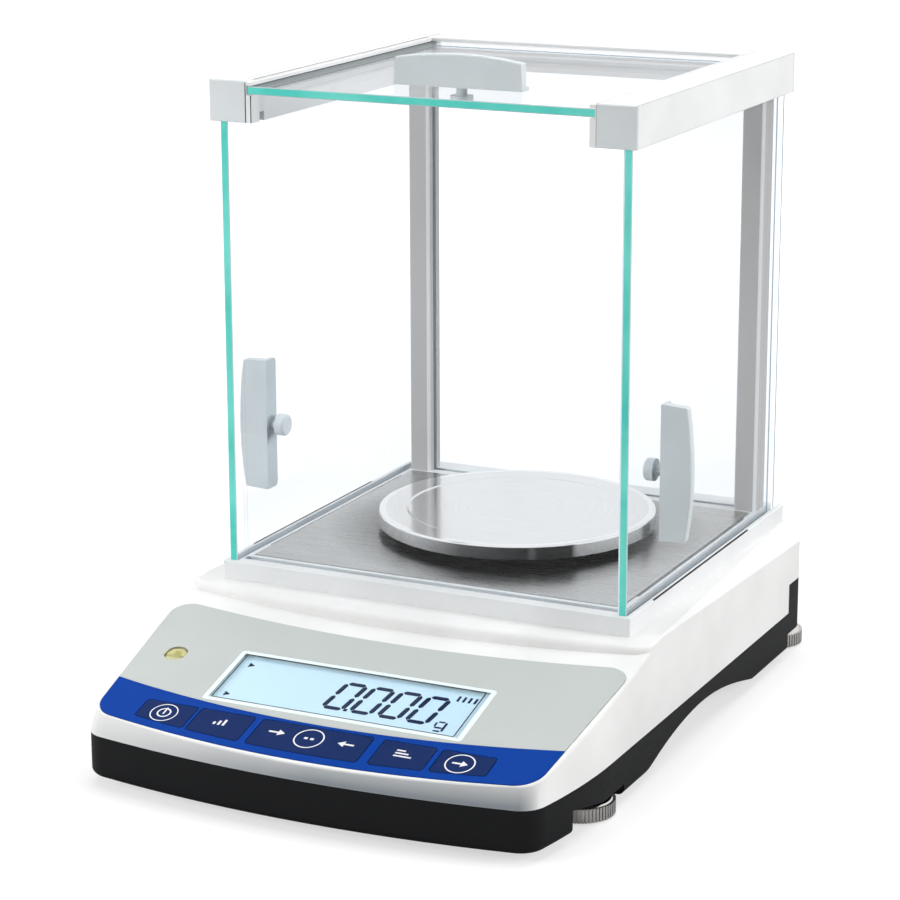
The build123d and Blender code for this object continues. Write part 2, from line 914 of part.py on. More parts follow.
def lcd_segments():
    shapes = unit_sign()
    for i in range(4):
        shapes = shapes + digit_zero(first_digit_x + i * digit_pitch, digit_low_v)
    dot_x = first_digit_x + digit_pitch - dot_gap
    shapes.append(Pos(dot_x, digit_low_v) * Rectangle(dot_size, dot_size))
    for i in range(gauge_bars):
        bar_x = lcd_half_width - gauge_inset + gauge_bar_pitch * i
        bar = Rectangle(gauge_bar_width, gauge_bar_height)
        shapes.append(Pos(bar_x, lcd_top_v - pointer_inset) * bar)
    for v in (lcd_top_v - pointer_inset, lcd_bottom_v + pointer_inset):
        shapes.append(Pos(-lcd_half_width + pointer_inset, v) * RegularPolygon(pointer_radius, 3))
    middle = (lcd_top_v + lcd_bottom_v) / 2
    height = lcd_top_v - lcd_bottom_v
    line_outer = Rectangle(2 * lcd_half_width, height)
    line_inner = Rectangle(2 * (lcd_half_width - bezel_line), height - 2 * bezel_line)
    shapes.append(Pos(0, middle) * (line_outer - line_inner))
    low = lcd_top()
    solids = [in_slope(s, low + digit_thickness, low) for s in shapes]
    return Part() + solids


def panel_board():
    face = Pos(0, (board_low_v + board_high_v) / 2) * Rectangle(
        2 * board_half_width, board_high_v - board_low_v
    )
    for x, v in board_boss_places():
        face = face - Pos(x, v) * Circle(screw_radius + 0.1)
    face = face - Pos(level_x, level_v) * Rectangle(2 * level_cup_radius + 6, 2 * level_cup_radius + 2)
    post_v = (screw_front_y - chamber_front_y - board_depth * tilt_sin()) / tilt_cos()
    for side in (-1, 1):
        face = face - Pos(side * front_screw_x, post_v) * Circle(housing_boss_radius + 2.0)
    board = in_slope(face, -board_depth, -board_depth - board_thickness)
    switch_top = -shell_wall - fit_gap - key_flange_thickness - key_travel - switch_gap
    for place in key_places():
        x, v = key_centre(*place)
        body = Pos(x, v) * Rectangle(switch_size, switch_size)
        board = board + in_slope(body, switch_top - 0.8, -board_depth)
        board = board + in_slope(Pos(x, v) * Circle(1.7), switch_top, -board_depth)
    return board


def board_screws():
    screws = []
    for x, v in board_boss_places():
        head = Pos(x, v) * Circle(2.5)
        shank = Pos(x, v) * Circle(boss_screw_radius - 0.02)
        low = -board_depth - board_thickness
        screw = in_slope(head, low, low - 1.6)
        screw = screw + in_slope(shank, -board_depth + 3.5, low - 1.0)
        screws.append(screw)
    return Part() + screws


def key_cap(left, right):
    top = film_thickness - film_recess + key_proud
    flange_top = -shell_wall - fit_gap
    cap = in_slope(key_area(left, right), top, flange_top)
    top_face = cap.faces().filter_by(lambda f: f.normal_at().dot(slope_plane().z_dir) > 0.99)[0]
    cap = fillet(top_face.edges(), 0.3)
    flange = key_area(left, right, key_flange)
    flange = in_slope(flange, flange_top, flange_top - key_flange_thickness)
    return cap + flange


def level_cup():
    top = film_thickness - film_recess
    outer = in_slope(Pos(level_x, level_v) * Circle(level_radius), top, -shell_wall - 1.0)
    flange = in_slope(
        Pos(level_x, level_v) * Circle(level_cup_radius), -shell_wall - 0.1, -level_depth
    )
    hollow = in_slope(
        Pos(level_x, level_v) * Circle(level_radius - level_wall), top - level_lid, -level_depth + 1.0
    )
    return outer + flange - hollow


def level_liquid():
    top = film_thickness - film_recess - level_lid
    liquid = in_slope(
        Pos(level_x, level_v) * Circle(level_radius - level_wall), top, -level_depth + 1.0
    )
    bubble = slope_plane() * Pos(level_x + 0.6, level_v + 1.0, top) * Sphere(bubble_radius)
    return liquid - bubble


def rail(side):
    # Extruded rail with a slot for the side door below and a hollow inside
    inner = rail_inner_x
    front = chamber_front_y + cap_thickness
    rear = chamber_rear_y - cap_thickness
    bar = box_between(inner, rail_outer_x, front, rear, rail_bottom_z, rail_top_z)
    bar = chamfer(bar.edges().filter_by(Axis.Y), 0.4)
    bar = bar - box_between(
        door_outer_x - glass - door_play,
        door_outer_x + door_play,
        front - 1,
        rear + 1,
        rail_bottom_z - 1,
        rail_bottom_z + door_groove_depth + 1.5 + door_play,
    )
    bar = bar - rail_hollow(0.0, front - 1, rear + 1)
    bar = bar - box_between(
        inner - 1,
        front_glass_half + 0.1,
        front_glass_y - pane_play,
        front_glass_y + glass + pane_play,
        rail_bottom_z - 1,
        rail_bottom_z + 4.1,
    )
    return bar if side > 0 else mirror(bar, about=Plane.YZ)


def rail_hollow(gap, front, rear):
    return box_between(
        rail_inner_x + rail_wall + gap,
        rail_outer_x - rail_wall - gap,
        front,
        rear,
        rail_bottom_z + 7.2 + gap,
        rail_top_z - rail_wall - gap,
    )


def rail_cap(side, at_front):
    inner = rail_inner_x
    outer_face = chamber_front_y if at_front else chamber_rear_y
    into = 1 if at_front else -1
    plate = box_between(
        inner, rail_outer_x, outer_face, outer_face + into * cap_thickness, rail_bottom_z, rail_top_z
    )
    end = plate.faces().sort_by(Axis.Y)[0 if at_front else -1]
    plate = chamfer(end.edges(), 0.4)
    if not at_front:
        plate = plate - box_between(
            door_outer_x - glass - door_play,
            door_outer_x + door_play,
            outer_face - 10,
            outer_face + 10,
            rail_bottom_z - 1,
            rail_bottom_z + door_groove_depth + 1.5 + door_play,
        )
    plug = rail_hollow(
        running_gap,
        outer_face + into * cap_thickness,
        outer_face + into * (cap_thickness + cap_plug),
    )
    cap = plate + plug
    return cap if side > 0 else mirror(cap, about=Plane.YZ)


def glass_guide(side):
    # Slim inner strip that carries the edge of the top glass
    outer = rail_inner_x
    inner = outer - guide_width
    rear = chamber_rear_y
    strip = box_between(inner, outer, chamber_front_y, rear, rail_bottom_z, rail_top_z - 0.5)
    strip = strip - box_between(
        inner - 1,
        top_glass_half + 0.3,
        chamber_front_y - 1,
        rear + 1,
        top_glass_low_z - door_play,
        top_glass_low_z + top_glass + door_play,
    )
    strip = strip - box_between(
        inner - 1,
        outer + 1,
        front_glass_y - pane_play,
        front_glass_y + glass + pane_play,
        rail_bottom_z - 1,
        rail_bottom_z + 4.1,
    )
    beam_cut = box_between(
        inner - 1, outer + 1, beam_front_y - 0.1, rear + 1, rail_bottom_z - 1, rail_top_z + 1
    )
    strip = strip - beam_cut
    return strip if side > 0 else mirror(strip, about=Plane.YZ)


def rear_beam():
    low_z = top_glass_low_z - door_play - beam_height
    beam = box_between(
        -rail_inner_x,
        rail_inner_x,
        beam_front_y,
        beam_front_y + beam_depth,
        low_z,
        top_glass_low_z - door_play,
    )
    groove = box_between(
        -rail_inner_x - 1,
        rail_inner_x + 1,
        rear_glass_y - pane_play,
        rear_glass_y + rear_glass_thickness + pane_play,
        low_z - 1,
        low_z + 2.0,
    )
    return beam - groove


def rear_strip():
    low_z = top_glass_low_z + top_glass + door_play
    strip = box_between(
        -rail_inner_x, rail_inner_x, beam_front_y, beam_front_y + beam_depth, low_z, rail_top_z
    )
    return chamfer(strip.faces().sort_by(Axis.Z)[-1].edges().filter_by(Axis.X), 0.4)


def rear_post(side):
    post = box_between(
        post_outer_x - post_width,
        post_outer_x,
        post_front_y,
        post_front_y + post_depth,
        ledge_top_z,
        rail_bottom_z,
    )
    uprights = post.edges().filter_by(Axis.Z).sort_by(Axis.Y)[:2]
    post = chamfer(uprights, post_chamfer)
    post = post - box_between(
        post_outer_x - post_width - 1,
        post_outer_x - post_width + post_groove,
        rear_glass_y - pane_play,
        rear_glass_y + rear_glass_thickness + pane_play,
        ledge_top_z - 1,
        rail_bottom_z + 1,
    )
    return post if side > 0 else mirror(post, about=Plane.YZ)


def front_glass():
    low = box_between(
        -front_glass_half,
        front_glass_half,
        front_glass_y,
        front_glass_y + glass,
        ledge_top_z - 2.9,
        rail_bottom_z + 3.9,
    )
    narrow = rail_inner_x - guide_width - 0.2
    high = box_between(
        -narrow,
        narrow,
        front_glass_y,
        front_glass_y + glass,
        rail_bottom_z,
        top_glass_low_z - door_play,
    )
    return low + high


def rear_glass():
    narrow = rail_inner_x - 0.2
    wide = post_outer_x - post_width + post_groove - 0.2
    low = box_between(
        -wide,
        wide,
        rear_glass_y,
        rear_glass_y + rear_glass_thickness,
        ledge_top_z - 1.9,
        rail_bottom_z - 0.2,
    )
    high = box_between(
        -narrow,
        narrow,
        rear_glass_y,
        rear_glass_y + rear_glass_thickness,
        ledge_top_z,
        top_glass_low_z - door_play - beam_height + 1.8,
    )
    return low + high


def side_door(side):
    pane = box_between(
        door_outer_x - glass,
        door_outer_x,
        door_front_y,
        door_rear_y,
        ledge_top_z - door_groove_depth,
        rail_bottom_z + door_groove_depth + 1.0,
    )
    pane = chamfer(pane.edges().filter_by(Axis.Z), 0.35)
    hole = Pos(door_outer_x, knob_y(), side_handle_z) * Rot(0, 90, 0)
    pane = pane - hole * Cylinder(glass_hole_radius, 20)
    return pane if side > 0 else mirror(pane, about=Plane.YZ)


def top_door():
    pane = box_between(
        -top_glass_half,
        top_glass_half,
        chamber_front_y + 0.6,
        shield_rear_y,
        top_glass_low_z,
        top_glass_low_z + top_glass,
    )
    pane = chamfer(pane.edges().filter_by(Axis.X), 0.35)
    return pane - Pos(top_handle_x, top_knob_y(), top_glass_low_z) * Cylinder(glass_hole_radius, 20)


def knob_y():
    return side_handle_y + handle_foot / 2


def top_knob_y():
    return top_handle_y + handle_foot / 2


def handle_shape():
    # Blade with a bowed outer edge on a flat foot; foot on Z = 0, length along X
    half = handle_length / 2
    blade = make_face(
        [
            Line((-half, 0), (half, 0)),
            Line((half, 0), (half - 0.6, handle_end_height)),
            ThreePointArc(
                (half - 0.6, handle_end_height),
                (0, handle_mid_height),
                (-half + 0.6, handle_end_height),
            ),
            Line((-half + 0.6, handle_end_height), (-half, 0)),
        ]
    )
    solid = extrude(Plane.XZ * blade, -handle_thickness)
    outer = solid.edges().filter_by(lambda e: e.center().Z > handle_end_height * 0.9)
    solid = fillet(outer, 0.8)
    foot = box_between(-half, half, 0, handle_foot, 0, handle_foot_thickness)
    foot = fillet(foot.edges().filter_by(Axis.Z).sort_by(Axis.Y)[-2:], 2.5)
    handle = solid + foot
    bore = Pos(0, handle_foot / 2, 0) * Cylinder(knob_stud_radius + running_gap, 10)
    return handle - bore


def knob_shape():
    # Round inner knob pointing down from Z = 0, with a stud that rises through the glass
    body = Pos(0, 0, -knob_length / 2) * Cylinder(knob_radius, knob_length)
    body = fillet(body.faces().sort_by(Axis.Z)[0].edges(), 1.2)
    reach = glass + 4.5
    stud = Pos(0, 0, reach / 2) * Cylinder(knob_stud_radius, reach)
    return body + stud


def side_handle(side):
    turn = Plane(
        origin=(door_outer_x, side_handle_y, side_handle_z), x_dir=(0, 0, 1), z_dir=(1, 0, 0)
    )
    handle = turn * mirror(handle_shape(), about=Plane.XZ)
    return handle if side > 0 else mirror(handle, about=Plane.YZ)


def side_knob(side):
    turn = Plane(
        origin=(door_outer_x - glass, knob_y(), side_handle_z), x_dir=(0, 0, 1), z_dir=(1, 0, 0)
    )
    knob = turn * knob_shape()
    return knob if side > 0 else mirror(knob, about=Plane.YZ)


def top_handle():
    return Pos(top_handle_x, top_handle_y, top_glass_low_z + top_glass) * handle_shape()


def top_knob():
    return Pos(top_handle_x, top_knob_y(), top_glass_low_z) * knob_shape()


def weighing_pan():
    low_z = pan_top_z - pan_height
    inner_low = pan_top_z - pan_sheet
    ring = pan_radius - pan_ring_width
    profile = make_face(
        Polyline(
            (0, inner_low - pan_dish),
            (0, pan_top_z - pan_dish),
            (ring - 1.2, pan_top_z - pan_dish),
            (ring, pan_top_z),
            (pan_radius, pan_top_z),
            (pan_radius, low_z),
            (pan_radius - pan_sheet, low_z),
            (pan_radius - pan_sheet, inner_low),
            (ring, inner_low),
            (ring - 1.2, inner_low - pan_dish),
            close=True,
        )
    )
    pan = revolve(Plane.XZ * profile, Axis.Z)
    rim = pan.edges().filter_by(
        lambda e: abs(e.center().Z - pan_top_z) < 0.01 and e.length > 6.2 * pan_radius
    )
    pan = fillet(rim, pan_edge_radius * 0.8)
    socket = Pos(0, 0, inner_low - pan_dish - 2.5) * extrude(Circle(hub_radius + 3), 2.5)
    socket = socket - Pos(0, 0, inner_low - pan_dish - 2.6) * extrude(Circle(hub_radius + 0.05), 2.6)
    return Pos(0, pan_y, 0) * (pan + socket)


def pan_seat_z():
    return pan_top_z - pan_sheet - pan_dish


def pan_carrier():
    # Three-armed dish under the pan with a spigot down to the load cell
    seat = pan_seat_z()
    dish_top = seat - 3.2
    dish = Pos(0, 0, dish_top - carrier_thickness) * extrude(Circle(carrier_radius), carrier_thickness)
    rim = Circle(carrier_radius) - Circle(carrier_radius - 2)
    dish = dish + Pos(0, 0, dish_top - carrier_thickness) * extrude(rim, carrier_thickness + 2.6)
    hub = Pos(0, 0, dish_top - carrier_thickness) * extrude(Circle(hub_radius), seat - dish_top + carrier_thickness)
    spigot_low = cell_cap_top() - spigot_depth
    spigot = Pos(0, 0, spigot_low) * extrude(Circle(spigot_radius), dish_top - spigot_low)
    return Pos(0, pan_y, 0) * (dish + hub + spigot)


def cell_base_z():
    return base_floor_top() + bracket_height


def cell_top_z():
    return cell_base_z() + cell_height


def cell_cap_top():
    return cell_top_z() + cell_cap_height


def load_cell():
    # Bar with the double bore of a bending beam; its free end carries the spigot cup
    bar = box_between(
        -cell_width / 2,
        cell_width / 2,
        cell_front_y,
        cell_front_y + cell_length,
        cell_base_z(),
        cell_top_z(),
    )
    middle = cell_front_y + cell_length / 2
    for y in (middle - cell_hole_spacing / 2, middle + cell_hole_spacing / 2):
        bore = Pos(0, y, (cell_base_z() + cell_top_z()) / 2) * Rot(0, 90, 0)
        bar = bar - bore * Cylinder(cell_hole_radius, cell_width + 2)
    slot_z = (cell_base_z() + cell_top_z()) / 2
    bar = bar - box_between(
        -cell_width,
        cell_width,
        middle - cell_hole_spacing / 2,
        middle + cell_hole_spacing / 2,
        slot_z - 2.0,
        slot_z + 2.0,
    )
    cup = Pos(0, pan_y, cell_top_z()) * extrude(Circle(cell_cap_radius), cell_cap_height)
    bar = bar + cup
    seat = cell_cap_top() - spigot_depth - load_travel - fit_gap
    return bar - Pos(0, pan_y, seat) * extrude(Circle(spigot_radius + running_gap), 20)


def load_cell_bracket():
    # Raised block under the fixed end of the load cell
    rear = cell_front_y + cell_length
    block = box_between(
        -cell_width / 2 - 6,
        cell_width / 2 + 6,
        rear - 26.0,
        rear + 4.0,
        base_floor_top(),
        cell_base_z(),
    )
    return chamfer(block.edges().filter_by(Axis.Z), 2.0)


def main_board():
    # Board on four posts, with a processor and a coil
    low = base_floor_top() + main_board_lift
    top = low + board_thickness
    right = main_board_left_x + main_board_width
    rear = main_board_front_y + main_board_length
    board = box_between(main_board_left_x, right, main_board_front_y, rear, low, top)
    for x in (main_board_left_x + main_board_post_inset, right - main_board_post_inset):
        for y in (main_board_front_y + main_board_post_inset, rear - main_board_post_inset):
            post = extrude(Circle(main_board_post_radius), main_board_lift)
            board = board + Pos(x, y, base_floor_top()) * post
    middle_x = (main_board_left_x + right) / 2
    chip_y = main_board_front_y + main_board_length * 0.3
    chip = Pos(middle_x, chip_y, top + chip_height / 2) * Box(chip_size, chip_size, chip_height)
    coil_y = main_board_front_y + main_board_length * 0.7
    coil = Pos(middle_x, coil_y, top + coil_height / 2) * Box(coil_width, coil_length, coil_height)
    return board + chip + coil


def power_socket():
    # Round inlet with a collar outside the wall and a pin in its middle
    centre = Pos(power_x, body_rear_y, power_z) * Rot(-90, 0, 0)
    barrel = centre * Pos(0, 0, -power_depth / 2) * Cylinder(power_radius, power_depth)
    collar = centre * Pos(0, 0, 0.5) * Cylinder(power_radius + power_collar, 1.0)
    bore = centre * Pos(0, 0, -4.0) * Cylinder(power_radius - 1.6, 12.0)
    pin = centre * Pos(0, 0, -5.5) * Cylinder(power_pin_radius, 11.0)
    return barrel + collar - bore + pin


def serial_port():
    # Nine-pin socket with a flange outside the wall and two side screws
    y = body_rear_y
    width = serial_width - 8
    height = serial_height - 3
    centre = Pos(serial_x, y, serial_z)
    flange = centre * Pos(0, 0.4, 0) * Box(serial_width, 0.8, serial_height)
    shell = centre * Pos(0, -3.5, 0) * Box(width, 17.0, height)
    shell = fillet(shell.edges().filter_by(Axis.Y), 1.8)
    well = centre * Pos(0, 2.5, 0) * Box(width - 2, 7.0, height - 2)
    port = flange + shell - well
    for row_z, count in ((serial_row_rise, 5), (-serial_row_rise, 4)):
        for i in range(count):
            pin_x = (i - (count - 1) / 2) * serial_pin_pitch
            port = port + centre * Pos(pin_x, 1.5, row_z) * Rot(90, 0, 0) * Cylinder(0.5, 5.0)
    for side in (-1, 1):
        nut = centre * Pos(side * (serial_width / 2 - 2.6), 2.0, 0) * Rot(90, 0, 0)
        port = port + nut * Cylinder(2.0, 4.0)
    return port


def foot_pad(x, y):
    # Rubber sole on a steel pin; the wheel above turns on the pin
    pad = Pos(x, y, table_z + pad_thickness / 2) * Cylinder(pad_radius, pad_thickness)
    pad = fillet(pad.faces().sort_by(Axis.Z)[0].edges(), pad_thickness / 2)
    pin_z = table_z + pad_thickness + pad_pin_height / 2
    return pad + Pos(x, y, pin_z) * Cylinder(pad_pin_radius, pad_pin_height)


def level_wheel(x, y):
    low = table_z + pad_thickness
    wheel = Pos(x, y, low + wheel_thickness / 2) * Cylinder(wheel_radius, wheel_thickness)
    wheel = chamfer(wheel.edges().filter_by(GeomType.CIRCLE), 0.4)
    stud = Pos(x, y, low + wheel_thickness + stud_height / 2) * Cylinder(stud_radius, stud_height)
    pocket = Pos(x, y, low) * extrude(Circle(pad_pin_radius + running_gap), pad_pin_height + 0.2)
    return wheel + stud - pocket


def housing_screws():
    screws = []
    for x, y, hole_top in screw_places():
        head_z = base_bottom_z + 0.5
        head = Pos(x, y, head_z) * extrude(Circle(screw_head_radius), screw_head_height)
        length = hole_top - 4.0 - head_z
        shank = Pos(x, y, head_z) * extrude(Circle(screw_radius - 0.22), length)
        screws.append(head + shank)
    return Part() + screws


def pieces():
    nodes = {
        "base_tray": base_tray(),
        "top_housing": top_housing(),
        "chamber_ledge": chamber_ledge(),
        "chamber_floor": chamber_floor(),
        "display_film": display_film(),
        "key_film": key_film(),
        "lcd_window": lcd_window(),
        "lcd_module": lcd_module(),
        "lcd_segments": lcd_segments(),
        "panel_board": panel_board(),
        "board_screws": board_screws(),
        "level_cup": level_cup(),
        "level_liquid": level_liquid(),
        "rear_beam": rear_beam(),
        "rear_strip": rear_strip(),
        "front_glass": front_glass(),
        "rear_glass": rear_glass(),
        "top_door_glass": top_door(),
        "top_handle": top_handle(),
        "top_knob": top_knob(),
        "pan_carrier": pan_carrier(),
        "weighing_pan": weighing_pan(),
        "load_cell": load_cell(),
        "load_cell_bracket": load_cell_bracket(),
        "main_board": main_board(),
        "power_socket": power_socket(),
        "serial_port": serial_port(),
        "housing_screws": housing_screws(),
    }
    names = ("key_power", "key_cal", "key_tare", "key_unit", "key_print")
    for name, place in zip(names, key_places()):
        nodes[name] = key_cap(*place)
    for word, side in (("left", -1), ("right", 1)):
        nodes[word + "_rail"] = rail(side)
        nodes[word + "_front_cap"] = rail_cap(side, True)
        nodes[word + "_rear_cap"] = rail_cap(side, False)
        nodes[word + "_glass_guide"] = glass_guide(side)
        nodes[word + "_post"] = rear_post(side)
        nodes[word + "_door_glass"] = side_door(side)
        nodes[word + "_handle"] = side_handle(side)
        nodes[word + "_knob"] = side_knob(side)
        nodes[word + "_track_strip"] = track_strip(side)
    for word, x, y in foot_places():
        nodes["pad_" + word] = foot_pad(x, y)
        nodes["wheel_" + word] = level_wheel(x, y)
    return nodes


os.makedirs("parts", exist_ok=True)
for name, solid in pieces().items():
    export_step(solid, "parts/" + name + ".step")
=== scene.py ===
"""Looks of a laboratory precision scale with a glass draft shield, built round its CAD frame."""

import json
import logging
import math
from dataclasses import dataclass, field
from enum import Enum
from typing import ClassVar

import bmesh
import bpy
from mathutils import Matrix, Vector

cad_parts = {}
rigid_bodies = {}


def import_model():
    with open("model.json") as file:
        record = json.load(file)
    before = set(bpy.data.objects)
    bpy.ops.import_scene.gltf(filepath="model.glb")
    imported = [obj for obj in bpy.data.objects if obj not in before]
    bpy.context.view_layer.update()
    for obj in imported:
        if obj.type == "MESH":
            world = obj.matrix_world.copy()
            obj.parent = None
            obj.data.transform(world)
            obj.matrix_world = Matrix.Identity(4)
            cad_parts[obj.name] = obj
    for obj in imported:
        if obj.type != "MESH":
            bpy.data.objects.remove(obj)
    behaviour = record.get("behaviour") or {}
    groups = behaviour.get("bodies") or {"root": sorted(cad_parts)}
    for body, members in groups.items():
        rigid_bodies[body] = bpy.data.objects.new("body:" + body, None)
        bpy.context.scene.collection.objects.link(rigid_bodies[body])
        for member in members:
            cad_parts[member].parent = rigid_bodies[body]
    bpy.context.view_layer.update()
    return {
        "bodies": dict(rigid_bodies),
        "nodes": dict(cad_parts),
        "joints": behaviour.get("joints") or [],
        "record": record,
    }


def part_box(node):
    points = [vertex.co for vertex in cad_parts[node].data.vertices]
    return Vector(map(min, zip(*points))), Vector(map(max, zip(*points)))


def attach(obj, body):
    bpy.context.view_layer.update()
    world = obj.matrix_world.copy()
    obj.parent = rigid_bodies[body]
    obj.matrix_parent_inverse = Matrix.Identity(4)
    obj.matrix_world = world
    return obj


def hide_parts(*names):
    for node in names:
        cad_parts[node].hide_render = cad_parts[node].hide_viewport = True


LOG = logging.getLogger("scale")
MM = 0.001
SLOPE_DEG = 15.05
SLOPE_ORIGIN = (0.0, -46.0, 60.2)
WHITE = (1.0, 1.0, 1.0, 1.0)
# A little under float glass (1.52) and acrylic (1.49), as faint as the object's faces mirror.
CLEAR_IOR = 1.45
# Nearly all values of a noise lie in the first band, and its middle half in the second.
NOISE_BAND = (0.3, 0.7)
CLOUD_BAND = (0.35, 0.65)
# What makes a Mix node mix the colours of its inputs 6 and 7.
COLOURS = {"out": 2, "data_type": "RGBA"}


class Axis(Enum):
    """Axis of the frame that a pane faces or that brush lines follow."""

    X = 0
    Y = 1
    Z = 2


def srgb(text: str) -> tuple[float, float, float, float]:
    """Turns a display colour into the linear colour that shaders use.

    Args:
        text: Six hexadecimal digits with a leading hash sign.

    Returns:
        Linear red, green, blue and an alpha of 1.
    """
    parts = [int(text[i : i + 2], 16) / 255 for i in (1, 3, 5)]
    lin = [c / 12.92 if c <= 0.04045 else ((c + 0.055) / 1.055) ** 2.4 for c in parts]
    return lin[0], lin[1], lin[2], 1.0


def shaded(text: str, share: float) -> tuple[float, float, float, float]:
    """Makes a display colour darker or lighter.

    Args:
        text: Six hexadecimal digits with a leading hash sign.
        share: Factor for its linear brightness.

    Returns:
        Linear red, green, blue and an alpha of 1.
    """
    red, green, blue = (min(1.0, c * share) for c in srgb(text)[:3])
    return red, green, blue, 1.0


def per_mm(size: float) -> float:
    """Gives the texture scale, in metres, for features that are size millimetres across."""
    return 1.0 / (size * MM)


def add_node(
    tree: bpy.types.NodeTree, kind: str, inputs: dict | None = None, **settings: object
) -> bpy.types.Node:
    """Adds one node with its settings and links.

    Args:
        tree: Tree that gets the node.
        kind: Blender's node type.
        inputs: Socket name or number to a value or to an output socket.
        **settings: Properties of the node itself.

    Returns:
        The new node.
    """
    node = tree.nodes.new(kind)
    for key, value in settings.items():
        setattr(node, key, value)
    for key, value in (inputs or {}).items():
        if isinstance(value, bpy.types.NodeSocket):
            tree.links.new(value, node.inputs[key])
        else:
            node.inputs[key].default_value = value
    return node


class Graph:
    """The shader nodes of a material or of the world."""

    def __init__(self, owner: bpy.types.Material | bpy.types.World) -> None:
        """Starts an empty tree.

        Args:
            owner: The new material or world.
        """
        owner.use_nodes = True
        self.owner = owner
        self.tree = owner.node_tree
        self.tree.nodes.clear()
        self.coords = self.add("TexCoord", out="Object")

    def add(
        self, kind: str, *values: object, out: int | str = 0, **settings: object
    ) -> bpy.types.NodeSocket:
        """Adds one shader node and joins what feeds it.

        Args:
            kind: Blender's node type after its ShaderNode prefix.
            *values: Values or sockets of the inputs in order, or one dict by name or number.
            out: Output that is handed back.
            **settings: Properties of the node itself.

        Returns:
            The socket of that output.
        """
        keyed = values and isinstance(values[0], dict)
        inputs = values[0] if keyed else dict(enumerate(values))
        return add_node(self.tree, "ShaderNode" + kind, inputs, **settings).outputs[out]

    def beyond(self, value: object, middle: float, half: float) -> bpy.types.NodeSocket:
        """Marks where a value lies farther from a middle than half.

        Args:
            value: Socket of the value.
            middle: The middle.
            half: Half the width that stays unmarked.

        Returns:
            Socket that is 1 there and 0 elsewhere.
        """
        offset = self.add("Math", value, middle, operation="SUBTRACT")
        away = self.add("Math", offset, operation="ABSOLUTE")
        return self.add("Math", away, half, operation="GREATER_THAN")

    def around(self, centre_mm: tuple[float, float]) -> tuple[object, object]:
        """Finds the distance and the angle round an upright axis.

        Args:
            centre_mm: Where the axis stands.

        Returns:
            Sockets of the distance in metres and of the angle in radians.
        """
        centre = (centre_mm[0] * MM, centre_mm[1] * MM, 0.0)
        rel = self.add("VectorMath", self.coords, centre, operation="SUBTRACT")
        part = self.add("SeparateXYZ", rel).node.outputs
        flat = self.add("CombineXYZ", part[0], part[1], 0.0)
        distance = self.add("VectorMath", flat, out="Value", operation="LENGTH")
        return distance, self.add("Math", part[1], part[0], operation="ARCTAN2")

    def clear_face(self, tint: object, rough: float, sheen: float) -> bpy.types.NodeSocket:
        """Builds a clear surface that mirrors a little, alike from both of its sides.

        Args:
            tint: Colour or socket of the light that passes.
            rough: Roughness of the mirrored light.
            sheen: Share of the real mirroring.

        Returns:
            The shader's socket.
        """
        back = self.add("NewGeometry", out="Backfacing")
        index = self.add("MapRange", back, 0.0, 1.0, CLEAR_IOR, 1.0 / CLEAR_IOR)
        fresnel = self.add("Fresnel", {"IOR": index})
        share = self.add("Math", fresnel, sheen, operation="MULTIPLY")
        clear = self.add("BsdfTransparent", {"Color": tint})
        mirror = self.add("BsdfGlossy", {"Color": WHITE, "Roughness": rough})
        return self.add("MixShader", share, clear, mirror)

    def finish(self, shader: object) -> bpy.types.Material | bpy.types.World:
        """Joins the shader to the output.

        Args:
            shader: Shader socket.

        Returns:
            The finished material or world.
        """
        word = "World" if isinstance(self.owner, bpy.types.World) else "Material"
        add_node(self.tree, "ShaderNodeOutput" + word, {"Surface": shader})
        return self.owner


@dataclass(frozen=True)
class Finish:
    """One finish, whose surface is a principled shader unless it builds another."""

    name: str

    def inputs(self, g: Graph) -> dict:
        """Works out the principled shader's inputs.

        Args:
            g: Graph that gets the nodes.

        Returns:
            Input name to value or socket.
        """
        raise NotImplementedError

    def surface(self, g: Graph) -> bpy.types.NodeSocket:
        """Builds the surface shader in the graph."""
        return g.add("BsdfPrincipled", self.inputs(g))

    def make(self) -> bpy.types.Material:
        """Builds the material."""
        g = Graph(bpy.data.materials.new(self.name))
        return g.finish(self.surface(g))


@dataclass(frozen=True)
class MouldedPlastic(Finish):
    """Injection-moulded plastic: soft broken highlights from its eroded grain."""

    colour: str
    rough: float = 0.45
    # Real grain is about 0.1 mm, too fine for the render, so it is drawn coarser.
    grain_mm: float = 0.5
    depth_mm: float = 0.02
    gloss: float = 0.35
    cloud_mm: float = 38.0

    def pigment(self, g: Graph) -> bpy.types.NodeSocket:
        """Mixes the colour, a little uneven as mouldings are.

        Args:
            g: Graph that gets the nodes.

        Returns:
            The colour's socket.
        """
        detail = {"Vector": g.coords, "Scale": per_mm(self.cloud_mm), "Detail": 3.0}
        cloud = g.add("MapRange", g.add("TexNoise", detail), *CLOUD_BAND, 0.0, 1.0)
        return g.add("Mix", {0: cloud, 6: srgb(self.colour), 7: shaded(self.colour, 0.93)}, **COLOURS)

    def inputs(self, g: Graph) -> dict:
        """Works out the principled shader's inputs.

        Args:
            g: Graph that gets the nodes.

        Returns:
            Input name to value or socket.
        """
        colour = self.pigment(g)
        detail = {"Vector": g.coords, "Scale": per_mm(self.grain_mm), "Detail": 3.0}
        grain = g.add("TexNoise", detail)
        return {
            "Base Color": colour,
            "Roughness": g.add("MapRange", grain, *NOISE_BAND, self.rough - 0.05, self.rough + 0.07),
            "Normal": g.add("Bump", {"Height": grain, "Distance": self.depth_mm * MM}),
            "Specular IOR Level": self.gloss,
        }


